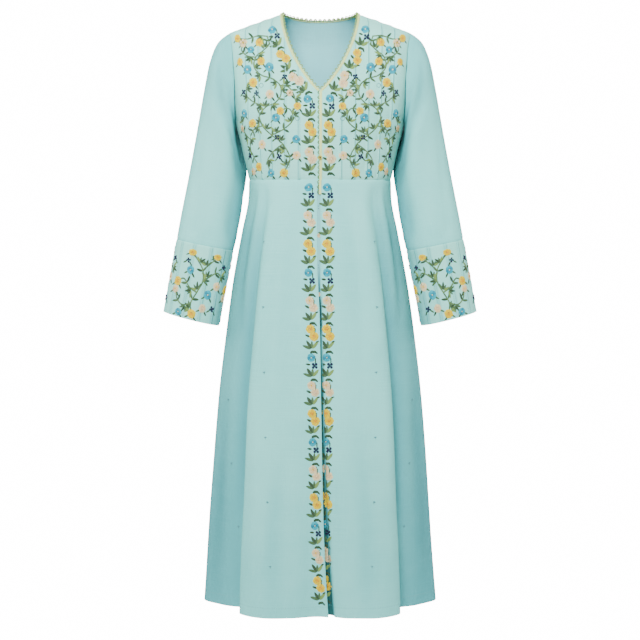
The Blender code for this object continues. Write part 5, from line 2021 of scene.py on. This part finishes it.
def sew_cuff_lines():
    foot = TUCK_HALF_WIDTH + 0.0004
    front = np.interp(math.pi / 2, CUFF_TURNS, CUFF_ARCS)
    for side, sign in (("left", 1), ("right", -1)):
        page = Page(62)
        for centre in np.interp(cuff_tuck_centres(), CUFF_TURNS, CUFF_ARCS):
            across = sign * (front - centre)
            for a in (across - foot, across + foot):
                # These stitches are darker than the cloth: the thread's own colour, and partly
                # painted shade for the thin shade line at each tuck's foot.
                draw_running(page, [(a, 0.004), (a, 0.07), (a, 0.144)], 0.0034, 0.0024,
                             0.00055, "deep aqua")
        for up in (0.0065, 0.1545):
            half = CUFF_ROUND / 2
            draw_running(page, [(-half, up), (0.0, up), (half, up)], 0.0032, 0.0023,
                         0.0006, "aqua")
        sew(f"cuff_lines_{side}", page, cuff_skin(sign), cuff_form(sign), **FINE)


def sew_skirt_lines():
    for side, sign in (("left", 1), ("right", -1), ("back", 0)):
        page = Page(63)
        arcs = SKIRT_ARCS[-1]
        seams = np.interp((SIDE_STATION, LAP - SIDE_STATION), TABLE_STATIONS, arcs)
        start = np.interp(SKIRT_STARTS[side][-1], TABLE_STATIONS, arcs)
        ends = {"left": (0.001, seams[0] - start), "right": (seams[1] - start, -0.001),
                "back": (seams[0] - start, seams[1] - start)}[side]
        for up in (0.020, 0.0215):
            line = [(a, HEM + up) for a in np.linspace(*ends, 12)]
            draw_running(page, line, 0.0036, 0.0026, 0.0006, "aqua")
        if sign:
            edge = [(sign * 0.0022, h) for h in np.linspace(WAIST - 0.004, HEM + 0.002, 12)]
            draw_running(page, edge, 0.0036, 0.0026, 0.0006, "aqua")
        sew(f"skirt_lines_{side}", page, skirt_panel_skin(side), skirt_form(side), **FINE)


sew_tuck_lines()
sew_cuff_lines()
sew_skirt_lines()

# %% [markdown]
# ## The crocheted edging
#
# A narrow braid is crocheted along the neckline and down the centre front, with a picot, a
# small loop of thread, every nine and a half millimetres. A band carries two rows of slanting
# stitches like a chain, and each picot is an arch of stitches with a knot on top. The flat
# page for it measures distance along the edge and distance out past it.

# %% The line that the edging follows
PICOT_PITCH = 0.0095
EDGING_ON_CLOTH = 0.0032
EDGING_PAST_EDGE = 0.0018
EDGING_THICKNESS = 0.0008
LAID_ON = 0.0003
FRONT_EDGING_END = -0.362


def resampled(rows, spacing):
    """Rows whose first three values are places on a line, evenly apart along it."""
    step = np.linalg.norm(np.diff(rows[:, :3], axis=0), axis=1)
    along = np.concatenate([[0.0], np.cumsum(step)])
    count = max(2, round(along[-1] / spacing))
    at = np.linspace(0.0, along[-1], count + 1)
    return np.stack([np.interp(at, along, rows[:, k]) for k in range(rows.shape[1])], 1)


def edging_rows(surface, flat, cloth_side):
    """Along a cloth's edge: the place, the normal, and both a little way in on the cloth."""
    line = surface(flat)
    normal = surface_normals(surface, flat)
    inward = np.cross(normal, np.gradient(line, axis=0)) * cloth_side
    inward *= (EDGING_ON_CLOTH / np.linalg.norm(inward, axis=1))[:, None]
    step = 1e-4
    along = (surface(flat + (step, 0.0)) - line) / step
    up = (surface(flat + (0.0, step)) - line) / step
    moves = [np.linalg.lstsq(np.stack([a, u], axis=1), d, rcond=None)[0]
             for a, u, d in zip(along, up, inward)]
    inner = flat + np.array(moves)
    return np.hstack([line, normal, surface(inner), surface_normals(surface, inner)])


def neckline_rows():
    """Rows from the V point up the wearer's left, round the back and down to the V again."""
    front = neck_line(90)[-2:0:-1]
    back = back_neck_flat(60) * (-1.0, 1.0)
    half = np.vstack([edging_rows(on_front, front, -1), edging_rows(on_back, back, -1)])
    flip = np.tile((-1.0, 1.0, 1.0), 4)
    return resampled(np.vstack([half, half[-2::-1] * flip]), 0.0024)


def front_rows():
    """Rows down the centre front, from below the V point to a little below the waist seam."""
    height = np.linspace(V_POINT + 0.0012, WAIST, 40)
    bodice = np.stack([np.full(40, EDGE), height], axis=1)
    below = np.linspace(WAIST - 0.001, FRONT_EDGING_END, 9)
    skirt = np.stack([np.full(9, 0.001), below], axis=1)
    rows = np.vstack([edging_rows(on_front, bodice, 1), edging_rows(skirt_point, skirt, 1)])
    return resampled(rows, 0.0024)


def smoothed(table, reach=5):
    """Each row of a table as the mean of the rows near it."""
    padded = np.pad(table, ((reach, reach), (0, 0)), mode="edge")
    return np.mean([padded[k:k + len(table)] for k in range(2 * reach + 1)], axis=0)


def edging_skin(rows):
    """A skin for points (distance along the edge, distance out past it)."""
    line, normal, inner, _ = np.split(rows, 4, axis=1)
    step = np.linalg.norm(np.diff(line, axis=0), axis=1)
    along = np.concatenate([[0.0], np.cumsum(step)])
    side, normal = smoothed(line - inner), smoothed(normal)
    out = side - normal * (side * normal).sum(axis=1)[:, None]
    out /= np.linalg.norm(out, axis=1)[:, None]

    def at(table, s):
        return np.stack([np.interp(s, along, table[:, k]) for k in range(3)], axis=1)

    def skin(flat, stand=LAID_ON + EDGING_THICKNESS):
        s, t = flat[:, 0], flat[:, 1]
        past = at(out, s) * np.clip(t, 0.0, None)[:, None]
        back = at(side, s) * (np.clip(t, None, 0.0) / EDGING_ON_CLOTH)[:, None]
        return at(line, s) + past + back + at(normal, s) * stand

    return skin, float(along[-1])


# %% The braid and its picots


def braid_page(length, seed):
    """The chain stitches, the posts and the picots along an edging of some length."""
    page = Page(seed)
    pitch = 0.0024
    for k in range(int(length / pitch)):
        s = (k + 0.5) * pitch
        for t, turn in ((-0.0021, 0.5), (-0.0011, -0.5)):
            page.put("stitch", (s - 0.0014, t), turn * 0.8, (0.0030, 0.0011, 0.0008),
                     "pale lime")
        page.put("stitch", (s, -0.0006), math.pi / 2, (0.0023, 0.0010, 0.0007), "lime")
    count = int(length / PICOT_PITCH)
    for k in range(count):
        middle = (k + 0.5) * length / count
        for j in range(7):
            turn = math.pi * (j + 0.5) / 7
            place = (middle + 0.0032 * math.cos(turn), 0.0014 + 0.0030 * math.sin(turn))
            page.put("stitch", around(place, turn + math.pi / 2, -0.0009),
                     turn + math.pi / 2, (0.0026, 0.0019, 0.0014), "sage")
        page.put("knot", (middle, 0.0048), 0.0, (0.0026, 0.0023, 0.0016), "sage")
    return page


def edging_band(name, node, rows, skin, length):
    """The braid's own thickness: a domed band under its stitches."""
    count = int(length / 0.0024)
    across = np.array((-EDGING_ON_CLOTH, -0.0020, -0.0008, 0.0004, EDGING_PAST_EDGE))
    dome = np.array((0.0, 0.7, 1.0, 0.7, 0.0)) * 0.0003
    s = np.linspace(0.0, length, count)
    flat = np.array([(a, t) for a in s for t in across])
    normal = np.array([[np.interp(a, np.linspace(0, length, len(rows)), rows[:, 3 + k])
                        for k in range(3)] for a, _ in flat])
    top = skin(flat) + normal * np.tile(dome, count)[:, None]
    low = skin(flat) - normal * EDGING_THICKNESS
    faces = [face[::-1] for face in grid_faces(5, count)]
    towards = np.cross(top[faces[0][1]] - top[faces[0][0]], top[faces[0][2]] - top[faces[0][0]])
    if np.dot(towards, normal[0]) < 0:
        faces = [face[::-1] for face in faces]
    n = len(top)
    inside = [tuple(i + n for i in reversed(face)) for face in faces]
    rim = [(b, a, a + n, b + n) for a, b in rim_edges(faces)]
    mesh = bpy.data.meshes.new(name)
    mesh.from_pydata(np.vstack([top, low]).tolist(), [], faces + inside + rim)
    mesh.shade_smooth()
    mesh.set_sharp_from_angle(angle=math.radians(60))
    dye = np.tile(DYES["pale lime"], (2 * n, 1))
    mesh.attributes.new("thread", "FLOAT_COLOR", "POINT").data.foreach_set("color", dye.ravel())
    strand = np.hstack([np.vstack([flat, flat]) * (160.0, 300.0), np.zeros((2 * n, 1))])
    mesh.attributes.new("strand", "FLOAT_VECTOR", "POINT").data.foreach_set(
        "vector", strand.ravel())
    mesh.materials.append(CROCHET)
    piece = bpy.data.objects.new(name, mesh)
    bpy.context.scene.collection.objects.link(piece)
    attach(piece, "root")
    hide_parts(node)


def sew_edging(name, node, rows, seed):
    skin, length = edging_skin(rows)
    edging_band(f"{name}_band", node, rows, skin, length)
    page = braid_page(length, seed)
    if node == "front_edging":
        for s in np.arange(0.004, length, PICOT_PITCH):
            page.put("knot", (s, -0.0012), 0.0, (0.0030, 0.0020, 0.0016), "leaf")
    threads = dict.fromkeys(MOTIFS, CROCHET)
    sew(name, page, skin, skin, threads=threads, unevenness=0.08)
    print(name, round(length, 3), "m long")


def sew_inside_back_neck(rows, seed):
    """The same stitches show on the inside, behind the wearer's neck."""
    skin, length = edging_skin(rows)

    def inside(flat):
        return skin(flat * (-1.0, 1.0) + (length, 0.0), -SHELL - LAID_ON)

    page = braid_page(length, seed)
    for kind, stitches in page.rows.items():
        if stitches:
            depth = inside(np.array([row[:2] for row in stitches]))[:, 1]
            page.rows[kind] = [row for row, y in zip(stitches, depth) if y > 0.012]
    threads = dict.fromkeys(MOTIFS, CROCHET)
    sew("neck_edging_inside", page, inside, inside, threads=threads, unevenness=0.08)


sew_edging("neck_edging", "neck_edging", neckline_rows(), 71)
sew_inside_back_neck(neckline_rows(), 73)
sew_edging("front_edging", "front_edging", front_rows(), 72)

# %% The ring at the centre front and the strip's own sprigs
RING_HEIGHT = -0.290
RING_STAND = 0.0016


def sew_ring():
    page = Page(81)
    for k in range(10):
        turn = 2 * math.pi * k / 10
        place = (0.0032 * math.cos(turn) + 0.0006, RING_HEIGHT + 0.0032 * math.sin(turn))
        page.put("stitch", around(place, turn + math.pi / 2, -0.0012), turn + math.pi / 2,
                 (0.0025, 0.0013, 0.0022), "yellow")
    page.put("knot", (0.0006, RING_HEIGHT), 0.0, (0.0030, 0.0030, 0.0026), "brown")
    threads = dict.fromkeys(MOTIFS, CROCHET)

    def raised(flat):
        return on_front(flat) + surface_normals(on_front, flat) * RING_STAND

    sew("front_ring", page, raised, on_front, threads=threads)


def sew_strip():
    page = Page(82)
    middle = 0.47
    for k, height in enumerate(np.arange(-0.385, -0.600, -0.058)):
        if k % 2:
            draw_flower(page, (middle, height), "pink", 0.008)
        else:
            page.put("knot", (middle, height), 0.0, (0.0026, 0.0024, 0.0014), "deep aqua")
            page.put("knot", (middle, height - 0.005), 0.0, (0.0018, 0.0018, 0.0012), "navy")
    wide = UNDERLAP["left_x"] - UNDERLAP["right_x"]

    def spread(flat):
        share = middle + (flat[:, 0] - middle) / wide
        return strip_skin(np.stack([share, flat[:, 1]], axis=1))

    sew("strip_sprigs", page, spread, spread)


sew_ring()
sew_strip()

for shape in MOTIFS.values():
    bpy.data.objects.remove(shape)

# %% [markdown]
# ## Studio
#
# The photograph is a flat, even catalogue shot on white. A white world fills the shadows, a
# large soft light comes from the front and above, and the pale floor lies well below the
# hanging hem. The camera is far away with a long lens, a little above the waist, and tilts
# down to the middle of the garment.

# %% Camera and light
CAMERA_DISTANCE = 3.2
CAMERA_HEIGHT = -0.333
CAMERA_TILT = 5.13
FLOOR_HEIGHT = -1.75
FLOOR_HALF_SIZE = 1.3
WORLD_LIGHT = 0.12
PAPER_WHITE = 16.0


def add_camera():
    data = bpy.data.cameras.new("camera")
    data.lens = 88.0
    data.sensor_width = 36.0
    camera = bpy.data.objects.new("camera", data)
    camera.location = (0.0, -CAMERA_DISTANCE, CAMERA_HEIGHT)
    camera.rotation_euler = (math.radians(90 - CAMERA_TILT), 0.0, 0.0)
    bpy.context.scene.collection.objects.link(camera)
    bpy.context.scene.camera = camera


def add_light(name, place, size, power, towards=(0.0, 0.0, -0.6)):
    data = bpy.data.lights.new(name, "AREA")
    data.shape = "DISK"
    data.size = size
    data.energy = power
    light = bpy.data.objects.new(name, data)
    light.location = place
    aim = np.array(towards) - np.array(place)
    light.rotation_euler = (
        math.acos(-aim[2] / np.linalg.norm(aim)), 0.0, math.atan2(aim[1], aim[0]) - math.pi / 2)
    bpy.context.scene.collection.objects.link(light)


def add_floor():
    mesh = bpy.data.meshes.new("floor")
    half = FLOOR_HALF_SIZE
    corners = [(x, y, FLOOR_HEIGHT) for x, y in ((-half, -half), (half, -half), (half, half),
                                                 (-half, half))]
    mesh.from_pydata(corners, [], [(0, 1, 2, 3)])
    material, _, shader = new_material("pale floor", 0.9, 0.0)
    shader.inputs["Base Color"].default_value = (0.86, 0.86, 0.86, 1.0)
    mesh.materials.append(material)
    floor = bpy.data.objects.new("floor", mesh)
    bpy.context.scene.collection.objects.link(floor)


def set_world():
    world = bpy.data.worlds.new("white studio")
    world.use_nodes = True
    tree = world.node_tree
    soft = tree.nodes["Background"]
    soft.inputs["Color"].default_value = (1.0, 1.0, 1.0, 1.0)
    soft.inputs["Strength"].default_value = WORLD_LIGHT
    paper = add_node(tree, "ShaderNodeBackground", None, Color=(1, 1, 1, 1),
                     Strength=PAPER_WHITE)[0]
    seen = add_node(tree, "ShaderNodeLightPath")[0]
    both = add_node(tree, "ShaderNodeMixShader", None, s0=seen, s1=soft.outputs[0], s2=paper)[0]
    tree.links.new(both.socket, tree.nodes["World Output"].inputs["Surface"])
    bpy.context.scene.world = world


add_camera()
set_world()
add_floor()
for name, place, size, power in (
        ("key", (-0.35, -2.10, 1.10), 0.9, 150),
        ("fill", (0.70, -2.70, 0.10), 1.4, 20),
        ("back", (0.35, 2.30, 1.00), 1.2, 150),
        ("left side", (2.60, 0.50, 0.30), 1.2, 45),
        ("right side", (-2.60, 0.50, 0.30), 1.2, 45)):
    add_light(name, place, size, power)
